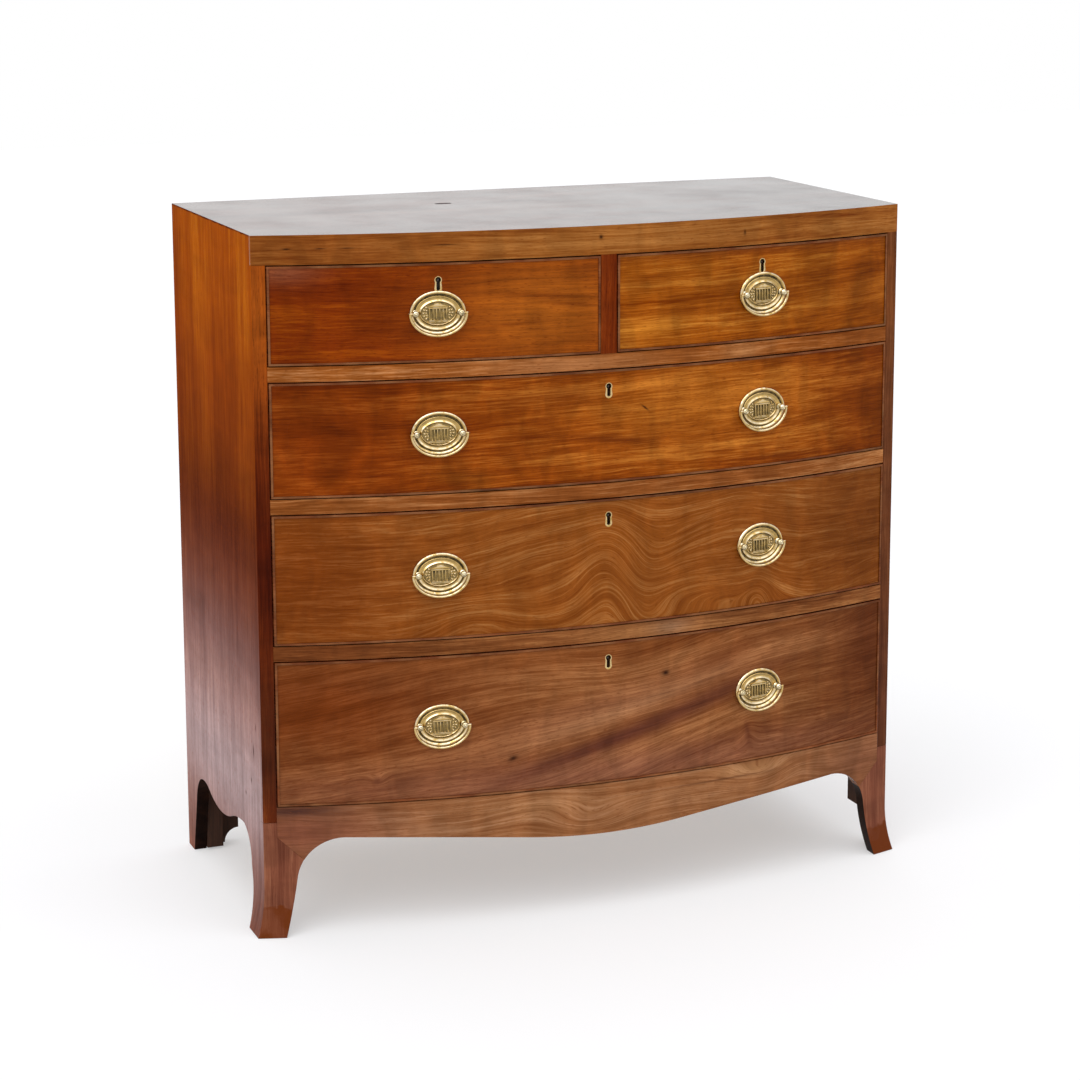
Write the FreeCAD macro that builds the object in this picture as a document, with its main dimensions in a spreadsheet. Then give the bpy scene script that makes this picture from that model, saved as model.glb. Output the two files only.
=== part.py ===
"""Bow front chest of drawers: two short and three long drawers on splayed bracket feet.

Frame: millimetres, +Z up, X to the right of someone facing the drawers, front towards -Y.
The origin is on the floor, under the middle of the chest's width and depth.

Everything on the front follows one vertical cylinder, the bow. Boards are cut to it, the
drawer fronts are slices of its shell, and the apron and front feet are turned about its axis.
"""
import FreeCAD, Part
import math
import os

import Sketcher

# Name, millimetres, what it is. Each can be changed by itself.
DIMENSIONS = (
    ("width", 990, "over the two side panels"),
    ("side_depth", 428, "side panel, front edge to back edge"),
    ("bow_rise", 77, "how far the middle of the bow stands before the front corners"),
    ("side_thickness", 19, "side panels, and the stile that their front edge shows"),
    ("top_thickness", 20, "top board"),
    ("frieze_height", 21, "rail between the top board and the short drawers"),
    ("front_lap", 5, "how far frieze and top lap over the side panels' front edges"),
    ("rail_height", 21.5, "each rail between two rows of drawers"),
    ("rail_back", 45, "back edge of the rails, behind the front corners"),
    ("bottom_rail_height", 22.5, "rail under the bottom drawer"),
    ("opening_row_1", 140, "height of the short drawers' opening"),
    ("opening_row_2", 164, "height of the upper long opening"),
    ("opening_row_3", 188, "height of the middle long opening"),
    ("opening_row_4", 212, "height of the lower long opening"),
    ("muntin_width", 24, "upright between the short drawers"),
    ("foot_height", 168, "floor to the underside of the bottom rail"),
    ("skirt_thickness", 22, "apron and front feet, measured square to the bow"),
    ("splay_height", 75, "the front feet start to curve outwards here"),
    ("splay_out", 12, "how far a front toe stands out sideways"),
    ("splay_forward", 9, "how far a front toe stands out forwards"),
    ("scarf_top", 146, "height where the joint of foot and apron leaves the stile"),
    ("scarf_low", 110, "height where that joint runs into the arch"),
    ("scarf_width", 57, "width of the foot there"),
    ("apron_middle_depth", 52.5, "apron, bottom rail to its edge in the middle"),
    ("apron_shoulder_depth", 47, "the same where the middle drop ends"),
    ("apron_shoulder_at", 110, "half the width of the middle drop"),
    ("apron_end_depth", 25, "the same at the top of the arch beside a foot"),
    ("apron_flank_radius", 4600, "curve of the apron's edge between drop and arch"),
    ("arch_end", 110, "top of the arch, in from the outside of the side panel"),
    ("knee_height", 89, "where the arch's round ends on the foot"),
    ("knee_width", 46, "width of the foot there"),
    ("knee_radius", 64.6, "round between apron and foot"),
    ("shin_radius", 525, "hollow of the foot's inner edge"),
    ("toe_width", 27, "width of the foot at the floor, before its splay"),
    ("foot_lap", 11, "a front foot over the side panel's front edge"),
    ("side_leg_front", 42, "side panel's front leg at the floor"),
    ("side_leg_knee", 64, "side panel's front leg where its round starts"),
    ("side_arch_front", 100, "front top of the side's cut-out, from the front edge"),
    ("side_drop_half", 65, "half the length of the drop in the middle of that cut-out"),
    ("side_drop_middle", 230, "middle of that drop, from the front edge"),
    ("side_arch_height", 137, "front top of the side's cut-out"),
    ("side_shoulder_height", 127, "where the drop's round meets the two arches"),
    ("side_arch_back", 83, "back top of the cut-out, in from the back edge"),
    ("side_back_knee_height", 88, "where the round ends on the back leg"),
    ("side_back_knee", 56, "width of the back leg there"),
    ("side_leg_back", 33, "side panel's back leg at the floor"),
    ("side_back_rise", 2, "back top of the cut-out above the drop's shoulder"),
    ("side_front_round", 50.4, "round from the front leg to the cut-out's top"),
    ("side_front_flank", 188.5, "curve from there to the drop"),
    ("side_drop_round", 172, "the drop's round"),
    ("side_back_flank", 71.5, "curve from the drop to the cut-out's back top"),
    ("side_back_round", 52, "round from there to the back leg"),
    ("back_thickness", 9, "back boards"),
    ("back_board_count", 5, "upright back boards side by side"),
    ("back_board_gap", 1, "shrinkage gap between two back boards"),
    ("bracket_thickness", 15, "back bracket feet"),
    ("bracket_reach", 75, "back bracket, in from the outside of the side panel"),
    ("bracket_round", 22, "round on the lower inner corner of a back bracket"),
    ("block_size", 25, "upright glue blocks in the corners, square"),
    ("block_clear", 3, "back glue blocks stop this far above the floor"),
    ("front_block_back", 40, "back of the front corner blocks, behind the front corners"),
    ("apron_block_length", 60, "glue blocks behind the apron"),
    ("apron_block_depth", 18, "the same blocks, front to back"),
    ("apron_block_height", 30, "the same blocks, height"),
    ("apron_block_pitch", 150, "from one of them to the next"),
    ("runner_width", 22, "drawer runners on the side panels"),
    ("runner_height", 12, "drawer runners"),
    ("centre_runner_width", 60, "runner that carries both short drawers"),
    ("guide_width", 20, "strip that keeps the short drawers apart"),
    ("guide_height", 16, "the same strip"),
    ("stop_length", 40, "drawer stops on the rails"),
    ("stop_depth", 16, "drawer stops, front to back"),
    ("stop_height", 5, "drawer stops"),
    ("stop_clearance", 0.5, "drawer stop to the back of a closed front"),
    ("long_stop_at", 300, "stops of the long drawers, from the middle"),
    ("short_stop_inner", 130, "inner stops of the short drawers, from the middle"),
    ("short_stop_outer", 370, "outer stops of the short drawers, from the middle"),
    ("front_gap", 1.2, "drawer front to the opening at each side"),
    ("front_top_gap", 1.5, "drawer front to the rail above"),
    ("front_bottom_gap", 1.6, "drawer front to the rail below"),
    ("running_gap", 0.3, "drawer side above its runner"),
    ("front_thickness", 22, "drawer fronts, square to the bow"),
    ("front_lap_on_side", 8, "wood left in front of the drawer sides"),
    ("bead_width", 3, "cock bead seen from the front"),
    ("bead_proud", 1.6, "cock bead before the drawer front"),
    ("bead_depth", 6, "cock bead's rebate in the drawer front"),
    ("drawer_side_thickness", 11, "drawer sides"),
    ("drawer_side_drop", 6, "top of the drawer sides below the opening's top"),
    ("drawer_back_thickness", 10, "drawer backs"),
    ("drawer_back_drop", 3, "top of a drawer back below its sides"),
    ("drawer_back_space", 12, "drawer back to the back boards"),
    ("drawer_bottom_thickness", 7, "drawer bottoms"),
    ("drawer_bottom_rise", 8, "drawer bottom above the lower edge of the sides"),
    ("groove_depth", 5, "groove that holds a drawer bottom"),
    ("pull_at", 247, "middle of each pull from the middle of the chest"),
    ("pull_height_1", 69.5, "middle of the pulls above the floor of row 1's opening"),
    ("pull_height_2", 86.5, "the same in row 2"),
    ("pull_height_3", 95.5, "the same in row 3"),
    ("pull_height_4", 109.5, "the same in row 4"),
    ("plate_width", 79.5, "oval back plate"),
    ("plate_height", 62.5, "oval back plate"),
    ("plate_thickness", 1, "sheet brass"),
    ("plate_rim", 2.6, "height of the rim above the drawer front"),
    ("plate_rim_width", 3.4, "rolled rim, seen from the front"),
    ("medallion_width", 51, "raised oval in the middle of the plate"),
    ("medallion_height", 37, "the same oval"),
    ("medallion_rise", 2.2, "its face above the drawer front"),
    ("post_pitch", 64, "between the two posts of a pull"),
    ("post_shank_radius", 2.1, "part of a post inside the drawer front"),
    ("post_head_radius", 5, "head that holds the bail"),
    ("post_head_front", 11.3, "front of the head before the drawer front"),
    ("post_axis", 6.5, "bail's axis before the drawer front"),
    ("post_bore_radius", 1.9, "hole for the bail's pin, over its corners"),
    ("post_hole_clearance", 0.2, "post shank in the drawer front"),
    ("nut_size", 9, "square blind nuts inside the drawer"),
    ("nut_thickness", 5, "the same nuts"),
    ("nut_clearance", 0.45, "nut to the back of the drawer front, which bows away from it"),
    ("bail_half_width", 40.3, "middle of the bail's wire, at its widest"),
    ("bail_drop", 33.4, "middle of the bail's wire below its axis"),
    ("bail_width", 4.4, "bail's wire, seen from the front"),
    ("bail_thickness", 3.8, "bail's wire, front to back"),
    ("bail_pin_radius", 1.55, "bail's pins"),
    ("bail_pin_flat", 1.2, "flats filed on the pins, from their axis"),
    ("bail_pin_end", 0.8, "pins stop this far inside the far side of the post's head"),
    ("bail_tip_reach", 3.2, "pointed tip beyond the wire's middle"),
    ("bail_tip_rise", 1.5, "the same tip above the bail's axis"),
    ("keyhole_depth", 23.8, "lock pin below the drawer front's top edge"),
    ("lock_width", 50, "lock case"),
    ("lock_height", 46, "lock case"),
    ("lock_setback", 12, "drawer face to the lock case"),
    ("lock_thickness", 10.2, "lock case"),
    ("lock_at", 246, "locks of the short drawers from the middle"),
    ("bolt_width", 16, "lock bolt"),
    ("bolt_thickness", 4.5, "lock bolt"),
    ("bolt_length", 12, "lock bolt inside the case"),
    ("bolt_clearance", 0.3, "bolt in its slot"),
    ("bolt_throw", 7, "how far the bolt rises when locked"),
    ("mortise_spare", 1, "space around the raised bolt in the rail"),
    ("lock_pin_radius", 1.4, "pin that the key turns on"),
    ("lock_pin_setback", 2.5, "end of the pin behind the drawer face"),
    ("escutcheon_depth", 4, "brass keyhole lining"),
    ("keyhole_head", 5.3, "round head of the lining, outside"),
    ("keyhole_skirt", 5.4, "half width of the lining near its foot"),
    ("keyhole_fall", 11.6, "pin to the lining's foot round"),
    ("keyhole_wall", 1.4, "width of the brass line"),
    ("tool_reach", 40, "how far cutting tools run on past what they cut"),
)

document = FreeCAD.newDocument("bow_front_chest")
sheet = document.addObject("Spreadsheet::Sheet", "Dimensions")
for row, (alias, number, note) in enumerate(DIMENSIONS, start=1):
    sheet.set(f"A{row}", alias)
    sheet.set(f"B{row}", str(number))
    sheet.set(f"C{row}", note)
    sheet.setAlias(f"B{row}", alias)
document.recompute()


class Size:
    """A number together with the sheet formula that it comes from."""

    def __init__(self, value, formula):
        self.value = float(value)
        self.formula = formula

    def __add__(self, other):
        other = as_size(other)
        return Size(self.value + other.value, f"({self.formula} + {other.formula})")

    def __sub__(self, other):
        other = as_size(other)
        return Size(self.value - other.value, f"({self.formula} - {other.formula})")

    def __mul__(self, other):
        other = as_size(other)
        return Size(self.value * other.value, f"({self.formula} * {other.formula})")

    def __truediv__(self, other):
        other = as_size(other)
        return Size(self.value / other.value, f"({self.formula} / {other.formula})")

    def __neg__(self):
        return Size(-self.value, f"(0 - {self.formula})")

    def root(self):
        return Size(math.sqrt(self.value), f"sqrt({self.formula})")

    def turn(self):
        """The angle in degrees whose sine this is."""
        return Size(math.degrees(math.asin(self.value)), f"asin({self.formula})")


def as_size(number):
    return number if isinstance(number, Size) else Size(number, repr(float(number)))


def cell(alias):
    return Size(sheet.get(alias), f"Dimensions.{alias}")


def bind(thing, prop, size):
    """Give a property its size, by formula where it comes from the sheet."""
    size = as_size(size)
    if "Dimensions." in size.formula:
        thing.setExpression(prop, size.formula)
    else:
        thing.setExpression(prop, None)
        holder, _, last = prop.rpartition(".")
        target = thing
        for name in holder.split(".") if holder else ():
            target = getattr(target, name)
        setattr(target, last, size.value)


def place(thing, x=0, y=0, z=0, turn=None):
    """Move an object to x, y, z, and turn it by an angle about the upright."""
    turned = FreeCAD.Rotation(FreeCAD.Vector(0, 0, 1), 0 if turn is None else turn.value)
    here = FreeCAD.Vector(as_size(x).value, as_size(y).value, as_size(z).value)
    thing.Placement = FreeCAD.Placement(here, turned)
    for axis, size in (("x", x), ("y", y), ("z", z)):
        if isinstance(size, Size):
            bind(thing, f"Placement.Base.{axis}", size)
    if turn is not None:
        bind(thing, "Placement.Rotation.Angle", turn)
    return thing


def new(kind, name):
    thing = document.addObject(kind, name)
    thing.Label = name
    return thing


def block(name, x, y, z):
    """A box between two sizes along each axis."""
    box = new("Part::Box", name)
    for prop, (low, high) in (("Length", x), ("Width", y), ("Height", z)):
        bind(box, prop, as_size(high) - low)
    return place(box, x[0], y[0], z[0])


def drum(name, radius, z, y):
    """An upright cylinder about the bow's axis."""
    cylinder = new("Part::Cylinder", name)
    bind(cylinder, "Radius", radius)
    bind(cylinder, "Height", as_size(z[1]) - z[0])
    return place(cylinder, 0, y, z[0])


def rod(name, radius, sides, ends, level=0):
    """A straight rod along Y between two sizes, with flat sides that face left and right."""
    flat_sided = new("Part::Prism", name)
    flat_sided.Polygon = sides
    bind(flat_sided, "Circumradius", radius)
    bind(flat_sided, "Height", as_size(ends[1]) - ends[0])
    half_a_side = FreeCAD.Rotation(FreeCAD.Vector(0, 0, 1), 180 / sides)
    lying = FreeCAD.Rotation(FreeCAD.Vector(-1, 0, 0), 90)
    flat_sided.Placement = FreeCAD.Placement(FreeCAD.Vector(), lying * half_a_side)
    bind(flat_sided, "Placement.Base.y", ends[0])
    bind(flat_sided, "Placement.Base.z", level)
    return flat_sided


def pin(name, radius, flat, ends):
    """A round pin along X with four flats filed on it, each as far from its axis as flat."""
    turned_over = FreeCAD.Rotation(FreeCAD.Vector(0, 1, 0), 90)
    cylinder = new("Part::Cylinder", f"{name}_round")
    bind(cylinder, "Radius", radius)
    bind(cylinder, "Height", as_size(ends[1]) - ends[0])
    cylinder.Placement = FreeCAD.Placement(FreeCAD.Vector(), turned_over)
    bind(cylinder, "Placement.Base.x", ends[0])
    return common(name, cylinder, block(f"{name}_flats", ends, (-flat, flat), (-flat, flat)))


def bore(name, radius, axis):
    """A six-sided bore along X, through whatever stands on the line at y = axis."""
    hollow = new("Part::Prism", name)
    hollow.Polygon = HEAD_SIDES
    bind(hollow, "Circumradius", radius)
    bind(hollow, "Height", REACH * 2)
    turned_over = FreeCAD.Rotation(FreeCAD.Vector(0, 1, 0), 90)
    hollow.Placement = FreeCAD.Placement(FreeCAD.Vector(), turned_over)
    bind(hollow, "Placement.Base.x", -REACH)
    bind(hollow, "Placement.Base.y", axis)
    return hollow


def cut(name, base, *tools):
    for number, tool in enumerate(tools, start=1):
        last = number == len(tools)
        step = new("Part::Cut", name if last else f"{name}_cut_{number}")
        step.Base = base
        step.Tool = tool
        base = step
    return base


def common(name, one, other):
    both = new("Part::Common", name)
    both.Base = one
    both.Tool = other
    return both


def fuse(name, *pieces):
    whole = new("Part::MultiFuse", name)
    whole.Shapes = list(pieces)
    whole.Refine = True
    return whole


def group(name, *pieces):
    """Separate solids that are one sub-part."""
    several = new("Part::Compound", name)
    several.Links = list(pieces)
    return several


def plane(body, role):
    return next(item for item in body.Origin.OriginFeatures if item.Role == role)


def arc_between(start, end, radius, side, large):
    """The arc that bulges to the left (side 1) or right (-1) of the way from start to end."""
    chord = end - start
    half = chord.Length / 2
    sagitta = radius - math.sqrt(max(radius**2 - half**2, 0)) * (-1 if large else 1)
    left = FreeCAD.Vector(-chord.y, chord.x, 0).normalize()
    middle = (start + end) / 2 + left * (side * sagitta)
    return Part.Arc(end, middle, start) if side > 0 else Part.Arc(start, middle, end)


def draw(body, name, role, corners, arcs=None, closed=True):
    """A sketch on one of the body's planes, through corners, each (size, size).

    arcs gives an edge, by the number of its first corner, as (radius, side, large).
    """
    sketch = body.newObject("Sketcher::SketchObject", name)
    sketch.AttachmentSupport = (plane(body, role), "")
    sketch.MapMode = "FlatFace"
    arcs = arcs or {}
    corners = [(as_size(a), as_size(b)) for a, b in corners]
    points = [FreeCAD.Vector(a.value, b.value, 0) for a, b in corners]
    count = len(points) if closed else len(points) - 1
    ends = []
    for edge in range(count):
        start = points[edge]
        end = points[(edge + 1) % len(points)]
        if edge in arcs:
            radius, side, large = arcs[edge]
            line = arc_between(start, end, as_size(radius).value, side, large)
        else:
            line = Part.LineSegment(start, end)
        sketch.addGeometry(line, False)
        drawn = sketch.Geometry[edge].StartPoint
        forward = (drawn - start).Length < (drawn - end).Length
        ends.append((1, 2) if forward else (2, 1))
    for edge in range(count if closed else count - 1):
        after = (edge + 1) % count
        join = Sketcher.Constraint("Coincident", edge, ends[edge][1], after, ends[after][0])
        sketch.addConstraint(join)
    for number, corner in enumerate(corners):
        edge, end = (number, ends[number][0]) if number < count else (count - 1, ends[-1][1])
        for letter, kind, size in zip("ab", ("DistanceX", "DistanceY"), corner):
            fix(sketch, Sketcher.Constraint(kind, edge, end, size.value), f"{letter}{number}", size)
    for edge, (radius, _, _) in arcs.items():
        radius = as_size(radius)
        fix(sketch, Sketcher.Constraint("Radius", edge, radius.value), f"round{edge}", radius)
    return sketch


def fix(sketch, constraint, name, size):
    number = sketch.addConstraint(constraint)
    sketch.renameConstraint(number, name)
    if "Dimensions." in size.formula:
        sketch.setExpression(f"Constraints.{name}", size.formula)


def pad(body, sketch, length, both_ways=False, backwards=False):
    feature = body.newObject("PartDesign::Pad", f"{sketch.Name}_pad")
    feature.Profile = sketch
    feature.Midplane = both_ways
    feature.Reversed = backwards
    bind(feature, "Length", length)
    return feature


def prism(name, role, corners, arcs, length, both_ways=False):
    """A body padded from one outline on a plane through the origin."""
    body = new("PartDesign::Body", name)
    pad(body, draw(body, f"{name}_outline", role, corners, arcs), length, both_ways)
    return body


def turned(name, role, corners, arcs, angle, axis):
    """A body turned from one outline, the same angle to both sides of its plane."""
    body = new("PartDesign::Body", name)
    sketch = draw(body, f"{name}_outline", role, corners, arcs)
    feature = body.newObject("PartDesign::Revolution", f"{name}_turning")
    feature.Profile = sketch
    feature.ReferenceAxis = (sketch, [axis])
    feature.Midplane = True
    bind(feature, "Angle", angle)
    return body


# ---- Levels and the bow -----------------------------------------------------------------

HALF = cell("width") / 2
FRONT = -(cell("side_depth") - cell("bow_rise")) / 2
BACK = (cell("side_depth") + cell("bow_rise")) / 2
INNER = HALF - cell("side_thickness")
RAIL_BACK = FRONT + cell("rail_back")
BOARDS_FRONT = BACK - cell("back_thickness")

FOOT_TOP = cell("foot_height")
FLOOR = {4: FOOT_TOP + cell("bottom_rail_height")}
for row in (3, 2, 1):
    FLOOR[row] = FLOOR[row + 1] + cell(f"opening_row_{row + 1}") + cell("rail_height")
CEILING = {row: FLOOR[row] + cell(f"opening_row_{row}") for row in FLOOR}
TOP_UNDERSIDE = CEILING[1] + cell("frieze_height")
HEIGHT = TOP_UNDERSIDE + cell("top_thickness")

BOW_RADIUS = (HALF * HALF + cell("bow_rise") * cell("bow_rise")) / (cell("bow_rise") * 2)
BOW_AXIS = FRONT - cell("bow_rise") + BOW_RADIUS
REACH = cell("tool_reach")
NUT_FACE = cell("front_thickness") + cell("nut_clearance")
BEFORE = FRONT - cell("bow_rise") - REACH

# Small round brass pieces are drawn with flat sides, so that eight pulls stay light.
RIM_SIDES = 16
MEDALLION_SIDES = 12
BAIL_SIDES = 12
HEAD_SIDES = 6
SHANK_SIDES = 4
KEYHOLE_HEAD_SIDES = 5
KEYHOLE_FOOT_SIDES = 3
KEYHOLE_WAIST = -34.0
NODES = []


def bow_y(x):
    """Where the bow's face is at a distance x from the middle."""
    return BOW_AXIS - (BOW_RADIUS * BOW_RADIUS - as_size(x) * x).root()


def keep(thing):
    """Hand a finished sub-part in under its label."""
    NODES.append(thing)
    return thing


def bow_drum(name, inset):
    """The bow's cylinder, set back by inset."""
    return drum(name, BOW_RADIUS - inset, (-REACH, HEIGHT + REACH), BOW_AXIS)


bow_face = bow_drum("bow_face", 0)
skirt_back = bow_drum("skirt_back", cell("skirt_thickness"))
front_back = bow_drum("drawer_front_back", cell("front_thickness"))
stop_face = bow_drum("stop_face", cell("front_thickness") + cell("stop_clearance"))
side_ends = bow_drum("drawer_side_ends", cell("front_lap_on_side"))
groove_end = bow_drum("groove_end", cell("front_thickness") - cell("groove_depth"))
bead_nose = bow_drum("bead_nose", -cell("bead_proud"))
bead_seat = bow_drum("bead_seat", cell("bead_depth"))
bead_shell = cut("bead_shell", bead_nose, bead_seat)


# ---- Carcass ----------------------------------------------------------------------------


def make_skirt():
    """Apron and front feet: one turned shell, cut into three pieces by its outlines."""
    radius = BOW_RADIUS
    inner = BOW_RADIUS - cell("skirt_thickness")
    splay = cell("splay_forward")
    rise = cell("splay_height")
    curve = (rise * rise + splay * splay) / (splay * 2)
    section = (
        (-radius, FOOT_TOP),
        (-radius, rise),
        (-radius - splay, 0),
        (-inner - splay, 0),
        (-inner, rise),
        (-inner, FOOT_TOP),
    )
    rounds = {1: (curve, 1, False), 3: (curve, -1, False)}
    reach = (HALF + cell("splay_out") * 2) / BOW_RADIUS
    shell = turned("skirt_shell", "YZ_Plane", section, rounds, reach.turn() * 2, "V_Axis")
    return place(shell, 0, BOW_AXIS, 0)


def make_arch():
    """The open space under the apron and between the front feet, as a cutting tool."""
    shoulder = cell("apron_shoulder_at")
    shoulder_z = FOOT_TOP - cell("apron_shoulder_depth")
    drop = cell("apron_middle_depth") - cell("apron_shoulder_depth")
    end = HALF - cell("arch_end")
    end_z = FOOT_TOP - cell("apron_end_depth")
    knee = HALF - cell("knee_width")
    toe = HALF - cell("toe_width")
    right = (
        (shoulder, shoulder_z),
        (end, end_z),
        (knee, cell("knee_height")),
        (toe, 0),
        (toe, -REACH),
    )
    left = [(-x, z) for x, z in reversed(right)]
    drop_radius = (shoulder * shoulder + drop * drop) / (drop * 2)
    rounds = {
        0: (cell("apron_flank_radius"), 1, False),
        1: (cell("knee_radius"), 1, False),
        2: (cell("shin_radius"), -1, False),
        6: (cell("shin_radius"), -1, False),
        7: (cell("knee_radius"), 1, False),
        8: (cell("apron_flank_radius"), 1, False),
        9: (drop_radius, -1, False),
    }
    return prism("arch", "XZ_Plane", right + tuple(left), rounds, cell("side_depth") * 2, True)


def make_foot(name, sign, skirt, arch):
    """A front foot: grain upright, scarfed to the apron, splayed outwards at the toe."""
    out = HALF + cell("splay_out")
    rise = cell("splay_height")
    curve = (rise * rise + cell("splay_out") * cell("splay_out")) / (cell("splay_out") * 2)
    scarf = HALF - cell("scarf_width")
    corners = (
        (HALF, FOOT_TOP),
        (HALF, rise),
        (out, 0),
        (scarf, 0),
        (scarf, cell("scarf_low")),
        (INNER, cell("scarf_top")),
        (INNER, FOOT_TOP),
    )
    corners = [(x * sign, z) for x, z in corners]
    bulge = {1: (curve, -sign, False)}
    outline = prism(f"{name}_outline", "XZ_Plane", corners, bulge, cell("side_depth") * 2, True)
    return cut(name, common(f"{name}_blank", skirt, outline), arch)


def make_apron(skirt, arch):
    """The apron between the feet, ends scarfed to them, under the bottom rail."""
    scarf = HALF - cell("scarf_width")
    right = (
        (INNER, FOOT_TOP),
        (INNER, cell("scarf_top")),
        (scarf, cell("scarf_low")),
    )
    left = [(-x, z) for x, z in reversed(right)]
    length = cell("side_depth") * 2
    outline = prism("apron_outline", "XZ_Plane", right + tuple(left), {}, length, True)
    return cut("apron", common("apron_blank", skirt, outline), arch)


def side_outline():
    """Side panel from the side: shaped cut-out between a splayed front and a plain back leg."""
    rise = cell("splay_height")
    splay = cell("splay_forward")
    curve = (rise * rise + splay * splay) / (splay * 2)
    edge = FRONT + cell("foot_lap")
    drop = cell("side_drop_half")
    middle = FRONT + cell("side_drop_middle")
    arch_z = cell("side_arch_height")
    shoulder_z = cell("side_shoulder_height")
    corners = (
        (BEFORE, HEIGHT),
        (BEFORE, FOOT_TOP),
        (edge, FOOT_TOP),
        (edge, rise),
        (edge - splay, 0),
        (FRONT + cell("side_leg_front"), 0),
        (FRONT + cell("side_leg_knee"), cell("knee_height")),
        (FRONT + cell("side_arch_front"), arch_z),
        (middle - drop, shoulder_z),
        (middle + drop, shoulder_z),
        (BACK - cell("side_arch_back"), shoulder_z + cell("side_back_rise")),
        (BACK - cell("side_back_knee"), cell("side_back_knee_height")),
        (BACK - cell("side_leg_back"), 0),
        (BACK, 0),
        (BACK, HEIGHT),
    )
    rounds = {
        3: (curve, 1, False),
        6: (cell("side_front_round"), 1, False),
        7: (cell("side_front_flank"), 1, False),
        8: (cell("side_drop_round"), -1, False),
        9: (cell("side_back_flank"), 1, False),
        10: (cell("side_back_round"), 1, False),
    }
    return corners, rounds


def make_side(name, sign, foot, laps):
    """A side panel: one board from the top's mitre to the floor, its front leg splayed."""
    out = HALF + cell("splay_out")
    rise = cell("splay_height")
    curve = (rise * rise + cell("splay_out") * cell("splay_out")) / (cell("splay_out") * 2)
    board = (
        (HALF, HEIGHT),
        (HALF, rise),
        (out, 0),
        (out - cell("side_thickness"), 0),
        (INNER, rise),
        (INNER, TOP_UNDERSIDE),
    )
    board = [(x * sign, z) for x, z in board]
    bulges = {1: (curve, -sign, False), 3: (curve, sign, False)}
    plain = ((HALF, HEIGHT), (HALF, 0), (INNER, 0), (INNER, TOP_UNDERSIDE))
    plain = [(x * sign, z) for x, z in plain]
    deep = cell("side_depth") * 2
    front_part = prism(f"{name}_front_part", "XZ_Plane", board, bulges, deep, True)
    back_part = prism(f"{name}_back_part", "XZ_Plane", plain, {}, deep, True)
    middle = FRONT + cell("side_drop_middle")
    halves = fuse(
        f"{name}_board",
        common(
            f"{name}_front_half",
            front_part,
            block(f"{name}_front_zone", (-out - REACH, out + REACH), (BEFORE, middle), (0, HEIGHT)),
        ),
        common(
            f"{name}_back_half",
            back_part,
            block(f"{name}_back_zone", (-out - REACH, out + REACH), (middle, BACK), (0, HEIGHT)),
        ),
    )
    corners, rounds = side_outline()
    shape = prism(f"{name}_profile", "YZ_Plane", corners, rounds, (out + REACH) * 2, True)
    bowed = common(f"{name}_bowed", common(f"{name}_shaped", halves, shape), bow_face)
    return cut(name, bowed, foot, *laps)


def make_top():
    """Top board: mitred to the side panels, its front edge running on to the corners."""
    lap = FRONT + cell("front_lap")
    section = (
        (-HALF, HEIGHT),
        (HALF, HEIGHT),
        (INNER, TOP_UNDERSIDE),
        (-INNER, TOP_UNDERSIDE),
    )
    board = prism("top_mitred", "XZ_Plane", section, {}, cell("side_depth") * 2, True)
    trimmed = common(
        "top_trimmed",
        board,
        block("top_zone", (-HALF, HALF), (BEFORE, BACK), (TOP_UNDERSIDE, HEIGHT)),
    )
    edge = block("top_edge", (-HALF, HALF), (BEFORE, lap), (TOP_UNDERSIDE, HEIGHT))
    return common("top_board", fuse("top_blank", trimmed, edge), bow_face)


def make_frieze():
    """Frieze rail: a bowed board between the sides, with a lip over their front edges."""
    levels = (CEILING[1], TOP_UNDERSIDE)
    lap = FRONT + cell("front_lap")
    board = block("frieze_board", (-INNER, INNER), (BEFORE, RAIL_BACK), levels)
    lip = block("frieze_lip", (-HALF, HALF), (BEFORE, lap), levels)
    return common("frieze_blank", fuse("frieze_pieces", board, lip), bow_face)


def make_rail(name, z):
    board = block(f"{name}_board", (-INNER, INNER), (BEFORE, RAIL_BACK), z)
    return common(name, board, bow_face)


def make_back_boards():
    count = cell("back_board_count")
    pitch = INNER * 2 / count
    gap = cell("back_board_gap") / 2
    boards = []
    for number in range(round(count.value)):
        start = pitch * number - INNER
        across = (start + gap, start + pitch - gap)
        levels = (FOOT_TOP, TOP_UNDERSIDE)
        boards.append(block(f"back_board_{number + 1}", across, (BOARDS_FRONT, BACK), levels))
    return group("back_boards", *boards)


def make_back_brackets():
    """Two back bracket feet, square to the side panels, with a rounded inner corner."""
    reach = HALF - cell("bracket_reach")
    curve = cell("bracket_round")
    brackets = []
    for side, sign in (("left", -1), ("right", 1)):
        corners = ((INNER, 0), (reach + curve, 0), (reach, curve), (reach, FOOT_TOP), (INNER, FOOT_TOP))
        corners = [(x * sign, z) for x, z in corners]
        bracket = prism(
            f"back_bracket_{side}",
            "XZ_Plane",
            corners,
            {1: (curve, sign * -1, False)},
            cell("bracket_thickness"),
        )
        brackets.append(place(bracket, 0, BACK, 0))
    return group("back_brackets", *brackets)


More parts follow.
